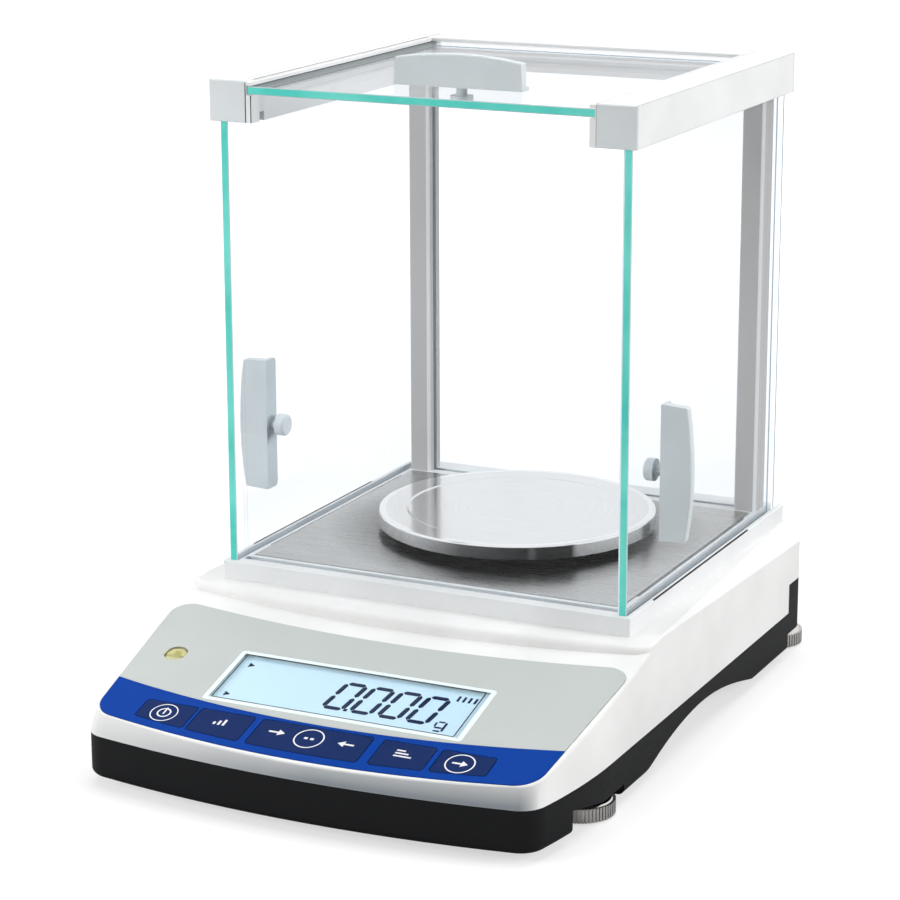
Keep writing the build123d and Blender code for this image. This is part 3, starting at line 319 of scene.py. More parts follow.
@dataclass(frozen=True)
class ShadedRimPlastic(MouldedPlastic):
    """Moulded shell with a painted shade: its front rim goes over to a silver grey towards its lower
    edge, less so at the left.
    """

    rim_shade_colour: str = "#858C91"
    rim_low_mm: float = 24.0
    rim_high_mm: float = 37.0
    rim_left_mm: float = -112.0
    rim_full_mm: float = 10.0
    left_share: float = 0.2
    faces_front: tuple[float, float] = (-0.85, -0.45)

    def pigment(self, g: Graph) -> bpy.types.NodeSocket:
        """Mixes the shell colour and the painted shade of the front rim.

        Args:
            g: Graph that gets the nodes.

        Returns:
            The colour's socket.
        """
        shell = super().pigment(g)
        place = g.add("SeparateXYZ", g.coords).node.outputs
        turned = g.add("SeparateXYZ", g.add("NewGeometry", out="Normal"), out=1)
        front = g.add("MapRange", turned, *self.faces_front, 1.0, 0.0)
        low = g.add("MapRange", place[2], self.rim_low_mm * MM, self.rim_high_mm * MM, 1.0, 0.0)
        ends = (self.rim_left_mm * MM, self.rim_full_mm * MM)
        along = g.add("MapRange", place[0], *ends, self.left_share, 1.0)
        # Painted shade: front faces go grey towards the rim's lower edge, less so at the left end.
        rim = g.add("Math", front, low, operation="MULTIPLY")
        grey = g.add("Math", rim, along, operation="MULTIPLY")
        return g.add("Mix", {0: grey, 6: shell, 7: srgb(self.rim_shade_colour)}, **COLOURS)


@dataclass(frozen=True)
class PrintedFilm(Finish):
    """Back-printed polycarbonate film: even colour under a fine satin texture."""

    colour: str
    rough: float = 0.36
    # Coarser than the real 0.05 mm, which would not show in the render.
    texture_mm: float = 0.28
    texture_depth_mm: float = 0.008
    gloss: float = 0.05
    cloud_mm: float = 30.0

    def inputs(self, g: Graph) -> dict:
        """Works out the principled shader's inputs.

        Args:
            g: Graph that gets the nodes.

        Returns:
            Input name to value or socket.
        """
        cells = {"Vector": g.coords, "Scale": per_mm(self.texture_mm)}
        fine = g.add("TexVoronoi", cells, out="Distance")
        cloud = g.add("TexNoise", {"Vector": g.coords, "Scale": per_mm(self.cloud_mm)})
        blend = {0: cloud, 6: srgb(self.colour), 7: shaded(self.colour, 1.06)}
        return {
            "Base Color": g.add("Mix", blend, **COLOURS),
            "Roughness": g.add("MapRange", fine, 0.0, 0.6, self.rough - 0.06, self.rough + 0.06),
            "Normal": g.add("Bump", {"Height": fine, "Distance": self.texture_depth_mm * MM}),
            "Specular IOR Level": self.gloss,
        }


@dataclass(frozen=True)
class PaneGlass(Finish):
    """Float glass pane: clear faces with a mirror sheen, green front edges, pale other edges, all
    edges with a painted glow.
    """

    faces: Axis
    low: tuple[float, float, float]
    high: tuple[float, float, float]
    edge_colour: str = "#4DBFB3"
    edge_light: str = "#6FD0C4"
    dull_edge: str = "#C3D3D8"
    tint: str = "#FDFEFF"
    inner_line: str = "#8FA5B4"
    edge_band_mm: float = 0.6
    streak_mm: float = 26.0
    sheen: float = 0.5
    square_on: float = 0.8
    arris_share: float = 0.7

    def middle_half(self, axis: Axis) -> tuple[float, float]:
        """Gives the pane's middle and half its size along an axis."""
        low, high = self.low[axis.value], self.high[axis.value]
        return (low + high) / 2, (high - low) / 2

    def near_limits(self, g: Graph) -> bpy.types.NodeSocket:
        """Finds the strip along the outer limits of the pane.

        Args:
            g: Graph that gets the nodes.

        Returns:
            Socket that is 1 in the strip and 0 elsewhere.
        """
        place = g.add("SeparateXYZ", g.coords).node.outputs
        strips = []
        for axis in Axis:
            if axis is not self.faces:
                middle, half = self.middle_half(axis)
                strips.append(g.beyond(place[axis.value], middle, half - self.edge_band_mm * MM))
        return g.add("Math", *strips, operation="MAXIMUM")

    def edge_inputs(self, g: Graph, forward: object) -> dict:
        """Works out the look of the ground edges, with a painted glow.

        Args:
            g: Graph that gets the nodes.
            forward: Socket of the normal's part along Y.

        Returns:
            Input name to value or socket.
        """
        detail = {"Vector": g.coords, "Scale": per_mm(self.streak_mm), "Detail": 3.0}
        streak = g.add("MapRange", g.add("TexNoise", detail), *CLOUD_BAND, 0.0, 1.0)
        greens = {0: streak, 6: srgb(self.edge_colour), 7: srgb(self.edge_light)}
        green = g.add("Mix", greens, **COLOURS)
        front = g.add("Math", forward, -self.square_on, operation="LESS_THAN")
        colour = g.add("Mix", {0: front, 6: srgb(self.dull_edge), 7: green}, **COLOURS)
        return {
            "Base Color": colour,
            "Roughness": 0.3,
            # Painted glow: the edges give off their own colour.
            "Emission Color": colour,
            "Emission Strength": 0.25,
            "Specular IOR Level": 0.2,
        }

    def surface(self, g: Graph) -> bpy.types.NodeSocket:
        """Builds the surface shader.

        Args:
            g: Graph that gets the nodes.

        Returns:
            The shader's socket.
        """
        shape = g.add("NewGeometry").node.outputs
        normal = g.add("SeparateXYZ", shape["True Normal"]).node.outputs
        facing = g.add("Math", normal[self.faces.value], operation="ABSOLUTE")
        sideways = g.add("Math", facing, self.square_on, operation="LESS_THAN")
        edge = g.add("Math", sideways, self.near_limits(g), operation="MULTIPLY")
        depth = g.add("SeparateXYZ", g.coords, out=self.faces.value)
        middle, half = self.middle_half(self.faces)
        arris = g.beyond(depth, middle, self.arris_share * half)
        # Painted shade: light passing the edges' arrises takes a darker tint, drawn as thin lines.
        line = g.add("Math", edge, arris, operation="MULTIPLY")
        tint = g.add("Mix", {0: line, 6: srgb(self.tint), 7: srgb(self.inner_line)}, **COLOURS)
        face = g.clear_face(tint, 0.0, self.sheen)
        rim = g.add("BsdfPrincipled", self.edge_inputs(g, normal[1]))
        outward = g.add("Math", 1.0, shape["Backfacing"], operation="SUBTRACT")
        return g.add("MixShader", g.add("Math", edge, outward, operation="MULTIPLY"), face, rim)


@dataclass(frozen=True)
class ChamferHighlightPost(Finish):
    """Moulded post whose front corner has a chamfer with a painted highlight in a pale colour."""

    corner_x: float
    colour: str = "#C4C2C0"
    pale: str = "#F4F4F4"
    width_mm: float = 1.5
    grain_mm: float = 0.4
    depth_mm: float = 0.006

    def inputs(self, g: Graph) -> dict:
        """Works out the principled shader's inputs.

        Args:
            g: Graph that gets the nodes.

        Returns:
            Input name to value or socket.
        """
        across = g.add("SeparateXYZ", g.coords)
        forward = g.add("SeparateXYZ", g.add("NewGeometry", out="True Normal"), out=1)
        # Painted highlight: a pale strip on the front faces along the chamfered corner.
        front = g.add("Math", forward, -0.5, operation="LESS_THAN")
        near = g.add("Math", across, self.corner_x - self.width_mm * MM, operation="GREATER_THAN")
        chamfer = g.add("Math", front, near, operation="MULTIPLY")
        grain = g.add("TexNoise", {"Vector": g.coords, "Scale": per_mm(self.grain_mm)})
        blend = {0: chamfer, 6: srgb(self.colour), 7: srgb(self.pale)}
        return {
            "Base Color": g.add("Mix", blend, **COLOURS),
            "Roughness": 0.4,
            "Normal": g.add("Bump", {"Height": grain, "Distance": self.depth_mm * MM}),
        }


@dataclass(frozen=True)
class ClearMoulding(Finish):
    """Clear acrylic with a polished middle and a printed or frosted border round it."""

    tint: str
    clear_half_mm: tuple[float, float]
    centre_mm: tuple[float, float]
    sheen: float = 0.25
    border: str = "#E9F3F5"

    def surface(self, g: Graph) -> bpy.types.NodeSocket:
        """Builds the surface shader.

        Args:
            g: Graph that gets the nodes.

        Returns:
            The shader's socket.
        """
        place = g.add("SeparateXYZ", g.coords).node.outputs
        past = [
            g.beyond(place[i], self.centre_mm[i] * MM, self.clear_half_mm[i] * MM)
            for i in (0, 1)
        ]
        frost = g.add("Math", *past, operation="MAXIMUM")
        face = g.clear_face(srgb(self.tint), 0.04, self.sheen)
        satin = g.add("BsdfPrincipled", {"Base Color": srgb(self.border), "Roughness": 0.4})
        return g.add("MixShader", frost, face, satin)


@dataclass(frozen=True)
class PaintedGlowLayer(Finish):
    """Liquid or liquid crystal behind a window, with a painted glow that makes it look lit from
    within.
    """

    colour: str
    second: str
    glow: float
    rough: float
    coat: float
    cloud_mm: float

    def inputs(self, g: Graph) -> dict:
        """Works out the principled shader's inputs.

        Args:
            g: Graph that gets the nodes.

        Returns:
            Input name to value or socket.
        """
        cloud = g.add("TexNoise", {"Vector": g.coords, "Scale": per_mm(self.cloud_mm)})
        blend = {0: cloud, 6: srgb(self.colour), 7: srgb(self.second)}
        colour = g.add("Mix", blend, **COLOURS)
        return {
            "Base Color": colour,
            "Roughness": self.rough,
            # Painted glow: the emission lights the layer, which is no lamp.
            "Emission Color": colour,
            "Emission Strength": self.glow,
            "Coat Weight": self.coat,
        }


@dataclass(frozen=True)
class BrushedMetal(Finish):
    """Metal brushed along one direction: its highlights spread across the lines."""

    colour: str
    rough: float = 0.32
    along: Axis = Axis.X
    # Real brush lines are under 0.1 mm wide and are drawn coarser, so that they show.
    line_mm: float = 0.48
    depth_mm: float = 0.004
    stretch: float = 0.02

    def pigment(self, g: Graph, lines: object) -> bpy.types.NodeSocket:
        """Mixes the metal's colour along its brush lines.

        Args:
            g: Graph that gets the nodes.
            lines: Brush lines between 0 and 1.

        Returns:
            The colour's socket.
        """
        return g.add("Mix", {0: lines, 6: srgb(self.colour), 7: shaded(self.colour, 0.86)}, **COLOURS)

    def inputs(self, g: Graph) -> dict:
        """Works out the principled shader's inputs.

        Args:
            g: Graph that gets the nodes.

        Returns:
            Input name to value or socket.
        """
        scale = [1.0, 1.0, 1.0]
        scale[self.along.value] = self.stretch
        drawn_out = g.add("Mapping", {"Vector": g.coords, "Scale": scale})
        detail = {"Vector": drawn_out, "Scale": per_mm(self.line_mm), "Detail": 4.0}
        lines = g.add("TexNoise", detail)
        return {
            "Base Color": self.pigment(g, lines),
            "Metallic": 1.0,
            "Roughness": g.add("MapRange", lines, *NOISE_BAND, self.rough - 0.06, self.rough + 0.08),
            "Anisotropic": 0.5,
            "Normal": g.add("Bump", {"Height": lines, "Distance": self.depth_mm * MM}),
        }


@dataclass(frozen=True)
class PanShadowSheet(BrushedMetal):
    """Brushed sheet with a painted shadow that makes it darker under and round a pan that stands
    close above it.
    """

    centre_mm: tuple[float, float] = (0.0, 58.4)
    shadow_full_mm: float = 60.0
    shadow_end_mm: float = 90.0
    share: float = 0.72
    dark: str = "#2A2A2B"

    def pigment(self, g: Graph, lines: object) -> bpy.types.NodeSocket:
        """Mixes the sheet's colour and the dark round the pan.

        Args:
            g: Graph that gets the nodes.
            lines: Brush lines between 0 and 1.

        Returns:
            The colour's socket.
        """
        plain = super().pigment(g, lines)
        distance, _ = g.around(self.centre_mm)
        ring = (self.shadow_full_mm * MM, self.shadow_end_mm * MM)
        # Painted shadow: darker the nearer the pan.
        near = g.add("MapRange", distance, *ring, self.share, 0.0)
        return g.add("Mix", {0: near, 6: plain, 7: srgb(self.dark)}, **COLOURS)


@dataclass(frozen=True)
class TurnedSteel(Finish):
    """Round steel part brushed in circles, whose polished wall mirrors the room and carries painted
    reflection streaks in its colour.
    """

    colour: str
    centre_mm: tuple[float, float]
    polish_from_mm: float
    rough: float = 0.13
    polished_rough: float = 0.12
    # Coarser than the real 0.05 mm circles, which would not show in the render.
    line_mm: float = 0.35
    line_depth_mm: float = 0.002
    metres_per_radian: float = 0.0006
    wall_band: tuple[float, float] = (0.25, 0.5)
    # Share of a full turn from the left, and the grey of the painted reflection there.
    REFLECTION_STREAKS: ClassVar[tuple] = (
        (0.0, 0.55),
        (0.065, 0.12),
        (0.085, 0.85),
        (0.19, 0.8),
        (0.255, 0.14),
        (0.33, 0.04),
        (0.334, 0.25),
        (0.338, 0.04),
        (0.38, 0.05),
        (0.385, 0.62),
        (0.44, 0.85),
        (0.485, 0.75),
        (0.495, 0.1),
        (0.52, 0.6),
        (0.56, 0.14),
        (0.62, 0.75),
        (0.7, 0.18),
        (0.8, 0.8),
        (0.9, 0.2),
        (1.0, 0.55),
    )

    def painted_reflection(self, g: Graph, angle: object) -> bpy.types.NodeSocket:
        """Lays the painted reflection streaks round the part.

        Args:
            g: Graph that gets the nodes.
            angle: Socket of the angle in radians.

        Returns:
            The colour's socket.
        """
        part = g.add("Math", angle, 2 * math.pi, operation="DIVIDE")
        ramp = g.add("ValToRGB", g.add("Math", part, 0.5, operation="ADD"))
        stops = ramp.node.color_ramp.elements
        for number, (place, grey) in enumerate(self.REFLECTION_STREAKS):
            stop = stops[number] if number < 2 else stops.new(place)
            stop.position = place
            stop.color = (grey, grey, grey, 1.0)
        return ramp

    def inputs(self, g: Graph) -> dict:
        """Works out the principled shader's inputs.

        Args:
            g: Graph that gets the nodes.

        Returns:
            Input name to value or socket.
        """
        distance, angle = g.around(self.centre_mm)
        round_way = g.add("Math", angle, self.metres_per_radian, operation="MULTIPLY")
        ring = g.add("CombineXYZ", distance, round_way, 0.0)
        lines = g.add("TexNoise", {"Vector": ring, "Scale": per_mm(self.line_mm), "Detail": 4.0})
        polished = g.add("Math", distance, self.polish_from_mm * MM, operation="GREATER_THAN")
        keep = g.add("Math", 1.0, polished, operation="SUBTRACT")
        kept_lines = g.add("Math", lines, keep, operation="MULTIPLY")
        brushed = g.add("MapRange", lines, *NOISE_BAND, self.rough - 0.07, self.rough + 0.09)
        roughs = (
            g.add("Math", brushed, keep, operation="MULTIPLY"),
            g.add("Math", polished, self.polished_rough, operation="MULTIPLY"),
        )
        level = g.add("SeparateXYZ", g.add("NewGeometry", out="Normal"), out=2)
        upright = g.add("Math", level, operation="ABSOLUTE")
        steep = g.add("MapRange", upright, *self.wall_band, 1.0, 0.0)
        # Painted reflection: the polished wall's colour takes the streaks.
        painted_wall_mask = g.add("Math", steep, polished, operation="MULTIPLY")
        greys = {0: kept_lines, 6: srgb(self.colour), 7: shaded(self.colour, 0.8)}
        top = g.add("Mix", greys, **COLOURS)
        return {
            "Base Color": g.add("Mix", {0: painted_wall_mask, 6: top, 7: self.painted_reflection(g, angle)}, **COLOURS),
            "Metallic": 1.0,
            "Roughness": g.add("Math", *roughs, operation="ADD"),
            "Normal": g.add("Bump", {"Height": kept_lines, "Distance": self.line_depth_mm * MM}),
        }


@dataclass(frozen=True)
class SoftRubber(Finish):
    """Matt rubber: no highlight, and a dusty bloom."""

    colour: str
    bloom: str = "#4A4A4A"
    bloom_mm: float = 3.0
    depth_mm: float = 0.03

    def inputs(self, g: Graph) -> dict:
        """Works out the principled shader's inputs.

        Args:
            g: Graph that gets the nodes.

        Returns:
            Input name to value or socket.
        """
        detail = {"Vector": g.coords, "Scale": per_mm(self.bloom_mm), "Detail": 4.0}
        dust = g.add("TexNoise", detail)
        share = g.add("MapRange", dust, 0.4, 0.8, 0.0, 0.5)
        blend = {0: share, 6: srgb(self.colour), 7: srgb(self.bloom)}
        return {
            "Base Color": g.add("Mix", blend, **COLOURS),
            "Roughness": 0.8,
            "Normal": g.add("Bump", {"Height": dust, "Distance": self.depth_mm * MM}),
        }


@dataclass(frozen=True)
class CircuitBoard(Finish):
    """Solder-masked glass fibre: glossy green over faint copper tracks."""

    colour: str
    track: str = "#3C8A5A"
    track_mm: float = 6.0
    track_share: float = 0.3

    def inputs(self, g: Graph) -> dict:
        """Works out the principled shader's inputs.

        Args:
            g: Graph that gets the nodes.

        Returns:
            Input name to value or socket.
        """
        tracks = g.add("TexBrick", {"Vector": g.coords, "Scale": per_mm(self.track_mm)})
        share = g.add("Math", tracks, self.track_share, operation="MULTIPLY")
        blend = {0: share, 6: srgb(self.colour), 7: srgb(self.track)}
        return {"Base Color": g.add("Mix", blend, **COLOURS), "Roughness": 0.3}


def slope_matrix(lift_mm: float) -> Matrix:
    """Places things drawn flat in slope coordinates.

    Args:
        lift_mm: Height above the sloping face.

    Returns:
        The matrix from slope millimetres to the frame in metres.
    """
    place = Matrix.Translation(Vector(SLOPE_ORIGIN) * MM)
    turn = Matrix.Rotation(math.radians(SLOPE_DEG), 4, "X")
    lift = Matrix.Translation(Vector((0.0, 0.0, lift_mm * MM)))
    return place @ turn @ lift @ Matrix.Scale(MM, 4)


def mesh_object(
    name: str, verts: list, faces: list, matrix: Matrix, material: bpy.types.Material
) -> bpy.types.Object:
    """Makes a mesh object that sits at the origin with its placement in its vertices.

    Args:
        name: Name of the piece.
        verts: Corner positions before placement.
        faces: Corner numbers of each face.
        matrix: Placement.
        material: Its material.

    Returns:
        The new object, linked to the scene.
    """
    mesh = bpy.data.meshes.new(name)
    mesh.from_pydata([matrix @ Vector(v) for v in verts], [], faces)
    mesh.materials.append(material)
    mesh.update()
    obj = bpy.data.objects.new(name, mesh)
    bpy.context.scene.collection.objects.link(obj)
    return obj


@dataclass
class Shapes:
    """Gathers flat printed shapes, in slope millimetres, into one mesh."""

    verts: list = field(default_factory=list)
    faces: list = field(default_factory=list)

    def ring(self, x: float, y: float, outer: float, inner: float, steps: int = 72) -> None:
        """Adds a flat ring.

        Args:
            x: Centre across.
            y: Centre up the slope.
            outer: Outer radius.
            inner: Inner radius.
            steps: Number of straight pieces.
        """
        start = len(self.verts)
        for i in range(steps):
            a = 2 * math.pi * i / steps
            for r in (outer, inner):
                self.verts.append((x + r * math.cos(a), y + r * math.sin(a), 0.0))
        for i in range(steps):
            a = start + 2 * i
            b = start + 2 * ((i + 1) % steps)
            self.faces.append((a, b, b + 1, a + 1))

    def polygon(self, points: list) -> None:
        """Adds a flat polygon.

        Args:
            points: Corners in order, each across and up the slope.
        """
        start = len(self.verts)
        self.verts.extend((x, y, 0.0) for x, y in points)
        self.faces.append(tuple(range(start, start + len(points))))

    def stroke(self, x0: float, y0: float, x1: float, y1: float, width: float) -> None:
        """Adds a straight bar.

        Args:
            x0: Start across.
            y0: Start up the slope.
            x1: End across.
            y1: End up the slope.
            width: Width of the bar.
        """
        along = Vector((x1 - x0, y1 - y0)).normalized()
        side = Vector((-along.y, along.x)) * width / 2
        near = [(x0 - side.x, y0 - side.y), (x1 - side.x, y1 - side.y)]
        far = [(x1 + side.x, y1 + side.y), (x0 + side.x, y0 + side.y)]
        self.polygon(near + far)

    def arrow(self, x: float, y: float, length: float, direction: int) -> None:
        """Adds an arrow that lies along the slope's width.

        Args:
            x: Middle of the arrow.
            y: Its place up the slope.
            length: Its length.
            direction: 1 points right, -1 left.
        """
        shaft, head_share, half_head = 1.0, 0.42, 2.0
        tip = x + direction * length / 2
        tail = x - direction * length / 2
        neck = tip - direction * length * head_share
        self.stroke(tail, y, neck, y, shaft)
        self.polygon([(neck, y - half_head), (tip, y), (neck, y + half_head)][::direction])

    def build(self, name: str, lift: float, material: bpy.types.Material, body: str) -> None:
        """Makes the printed mesh and lets it ride.

        Args:
            name: Name of the piece.
            lift: Height above the sloping face in millimetres.
            material: Ink material.
            body: CAD body that it moves with.
        """
        obj = mesh_object(name, self.verts, self.faces, slope_matrix(lift), material)
        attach(obj, body)
        LOG.info("printed %s", name)


class Knurl:
    """Geometry Nodes group that sets ridges round a wheel's rim."""

    INPUTS: ClassVar[dict] = {
        "Radius": "Float",
        "Ridge Width": "Float",
        "Ridge Depth": "Float",
        "Height": "Float",
        "Count": "Int",
        "Material": "Material",
    }

    def __init__(self) -> None:
        """Builds the node group once."""
        self.tree = bpy.data.node_groups.new("knurl_ridges", "GeometryNodeTree")
        face = self.tree.interface
        for way in ("INPUT", "OUTPUT"):
            face.new_socket("Geometry", in_out=way, socket_type="NodeSocketGeometry")
        self.ids = {}
        for name, kind in self.INPUTS.items():
            socket = face.new_socket(name, in_out="INPUT", socket_type="NodeSocket" + kind)
            self.ids[name] = socket.identifier
        self._wire()

    def _wire(self) -> None:
        """Joins circle points, ridge instances and the lathe body."""
        tree = self.tree
        given = add_node(tree, "NodeGroupInput").outputs
        round_way = {"Vertices": given["Count"], "Radius": given["Radius"]}
        circle = add_node(tree, "GeometryNodeMeshCircle", round_way)
        sides = {0: given["Ridge Depth"], 1: given["Ridge Width"], 2: given["Height"]}
        size = add_node(tree, "ShaderNodeCombineXYZ", sides)
        ridge = add_node(tree, "GeometryNodeMeshCube", {"Size": size.outputs[0]})
        place = {"Vector": add_node(tree, "GeometryNodeInputPosition").outputs[0]}
        turn = add_node(tree, "FunctionNodeAlignRotationToVector", place, axis="X")
        spread = add_node(
            tree,
            "GeometryNodeInstanceOnPoints",
            {"Points": circle.outputs[0], "Instance": ridge.outputs[0], "Rotation": turn.outputs[0]},
        )
        real = add_node(tree, "GeometryNodeRealizeInstances", {0: spread.outputs[0]})
        dress = {"Geometry": real.outputs[0], "Material": given["Material"]}
        dressed = add_node(tree, "GeometryNodeSetMaterial", dress)
        both = add_node(tree, "GeometryNodeJoinGeometry")
        tree.links.new(given["Geometry"], both.inputs[0])
        tree.links.new(dressed.outputs[0], both.inputs[0])
        add_node(tree, "NodeGroupOutput", {0: both.outputs[0]})

    def apply(self, obj: bpy.types.Object, values: dict) -> None:
        """Runs the group on an object at its own origin and keeps the result as a plain mesh.

        Args:
            obj: Object to dress.
            values: Input name to value.
        """
        modifier = obj.modifiers.new("ridges", "NODES")
        modifier.node_group = self.tree
        for name, value in values.items():
            modifier[self.ids[name]] = value
        graph = bpy.context.evaluated_depsgraph_get()
        graph.update()
        mesh = bpy.data.meshes.new_from_object(obj.evaluated_get(graph))
        obj.modifiers.remove(modifier)
        obj.data = mesh


def lathe(
    name: str, profile: list, material: bpy.types.Material, steps: int = 96
) -> bpy.types.Object:
    """Turns a profile about the Z axis.

    Args:
        name: Name of the piece.
        profile: Radius and height pairs in millimetres, from the axis and back to it.
        material: Its material.
        steps: Number of straight pieces round.

    Returns:
        The turned object at the origin.
    """
    verts = []
    faces = []
    rows = len(profile)
    for i in range(steps):
        a = 2 * math.pi * i / steps
        verts.extend((r * math.cos(a), r * math.sin(a), z) for r, z in profile)
    for i in range(steps):
        j = (i + 1) % steps
        for k in range(rows - 1):
            faces.append((i * rows + k, j * rows + k, j * rows + k + 1, i * rows + k + 1))
    return mesh_object(name, verts, faces, Matrix.Scale(MM, 4), material)


@dataclass
class Palette:
    """Every material of the scale, by name, which is the record's slot where it has one."""

    made: dict = field(default_factory=dict)

    FINISHES: ClassVar[tuple] = (
        # Black ABS from a coarsely eroded mould: dull, with a speckled highlight.
        MouldedPlastic("base_black", "#111214", 0.5, 0.55, 0.03, 0.2),
        # White ABS from a finely eroded mould: even and soft, with a painted silver grey shade along
        # the lower front.
        ShadedRimPlastic("shell_white", "#F2F2F1", 0.42),
        MouldedPlastic("ledge_grey", "#E9EBEC", 0.42),
        # Stainless sheet, brushed from side to side: a broad dull shine, with a painted shadow round
        # the pan.
        PanShadowSheet("floor_steel", "#C9C9C8", 0.28, Axis.X),
        # Polycarbonate films, printed on their backs: flat colour and hardly a highlight.
        PrintedFilm("film_grey", "#BEC3C0"),
        PrintedFilm("film_blue", "#033C96"),
        # Acrylic window, polished in front, with a pale printed border.
        ClearMoulding("window_clear", "#F7FCFE", (58.6, 16.3), (0.0, -112.35)),
        # Liquid crystal: pale blue, with a painted glow that keeps it bright in the shade.
        PaintedGlowLayer("display_pale", "#D3E1E9", "#CCDDE7", 0.22, 0.35, 0.0, 60.0),
        MouldedPlastic("segment_blue", "#0B1D45", 0.5, 0.3, 0.0, 0.1),
        CircuitBoard("board_green", "#12502E"),
        BrushedMetal("screw_steel", "#A9AAAA", 0.3, Axis.Z),
        # Acrylic cup of the level with its yellow alcohol: clear over a painted warm glow.
        ClearMoulding("level_clear", "#FBFAF2", (4.7, 4.7), (-89.4, -102.4), border="#C6C496"),
        PaintedGlowLayer("level_liquid", "#C8C68C", "#DCD9AA", 0.12, 0.08, 0.8, 4.0),
        # Powder-painted aluminium rails and moulded end caps: smooth, bright, soft edges.
        MouldedPlastic("rail_white", "#F2F3F3", 0.35, 0.3, 0.006),
        MouldedPlastic("cap_grey", "#E1E6E8", 0.4, 0.3, 0.01),
        # Milky polypropylene grips: pale grey with a soft gloss.
        MouldedPlastic("handle_grey", "#DBE2E4", 0.3, 0.4, 0.006),
        SoftRubber("strip_dark", "#2B2B2B"),
        # Deep-drawn stainless pan: fine circles on top, a mirror-bright rim with painted reflection
        # streaks over its real mirroring.
        TurnedSteel("pan_steel", "#FCFBFA", (0.0, 58.4), 61.5),
        BrushedMetal("carrier_alu", "#7C7D7E", 0.4, Axis.X),
        BrushedMetal("cell_alu", "#B9BABC", 0.3, Axis.Y),
        SoftRubber("pad_rubber", "#1C1C1C"),
        # Turned aluminium wheels: bright ridges with dark gaps between them.
        BrushedMetal("wheel_metal", "#EAE8E5", 0.26, Axis.Z),
        MouldedPlastic("socket_black", "#1A1A1A", 0.25, 0.4, 0.005),
        BrushedMetal("port_steel", "#C4C4C2", 0.28, Axis.X),
        # Key caps, moulded and lacquered: dark blue with no shine of their own.
        MouldedPlastic("key_blue", "#142B5E", 0.45, 0.3, 0.008, 0.06),
        # Joint lines with painted shadow in their gaps and painted shade along the rails' edges, and
        # printing inks: flat, without grain.
        MouldedPlastic("joint_shadow_dark", "#303436", 0.5, 0.3, 0.0),
        MouldedPlastic("joint_shade_light", "#A4A9AB", 0.5, 0.3, 0.0),
        MouldedPlastic("ink_white", "#F2F3F4", 0.4, 0.3, 0.0),
        MouldedPlastic("ink_dark", "#15181C", 0.4, 0.3, 0.0),
    )

    def fill(self) -> None:
        """Builds each finish once."""
        for finish in self.FINISHES:
            self.add(finish)

    def add(self, finish: Finish) -> str:
        """Builds one finish.

        Args:
            finish: The finish.

        Returns:
            Its name.
        """
        self.made[finish.name] = finish.make()
        return finish.name

    def get(self, name: str) -> bpy.types.Material:
        """Looks a material up by its name."""
        return self.made[name]


@dataclass
class SubAssembly:
    """A group of CAD nodes that are dressed together."""

    frame: dict
    palette: Palette
    title: str = "part"

    def paint(self, node: str, material: str) -> None:
        """Gives a CAD node its material.

        Args:
            node: Name of the CAD node.
            material: Name in the palette.
        """
        mesh = self.frame["nodes"][node].data
        mesh.materials.clear()
        mesh.materials.append(self.palette.get(material))
        LOG.info("%s: %s has %s", self.title, node, material)

    def build(self) -> None:
        """Dresses the group."""
        raise NotImplementedError


@dataclass
class Body(SubAssembly):
    """Everything that needs no more than the finish of its slot in the record."""

    title: str = "body"
    SHIELD_SLOTS: ClassVar[tuple] = ("shield_glass", "post_grey")

    def build(self) -> None:
        """Gives every node the finish of its slot, apart from what the shield paints itself."""
        for entry in self.frame["record"]["subparts"]:
            if entry["material_slot"] not in self.SHIELD_SLOTS:
                self.paint(entry["node"], entry["material_slot"])


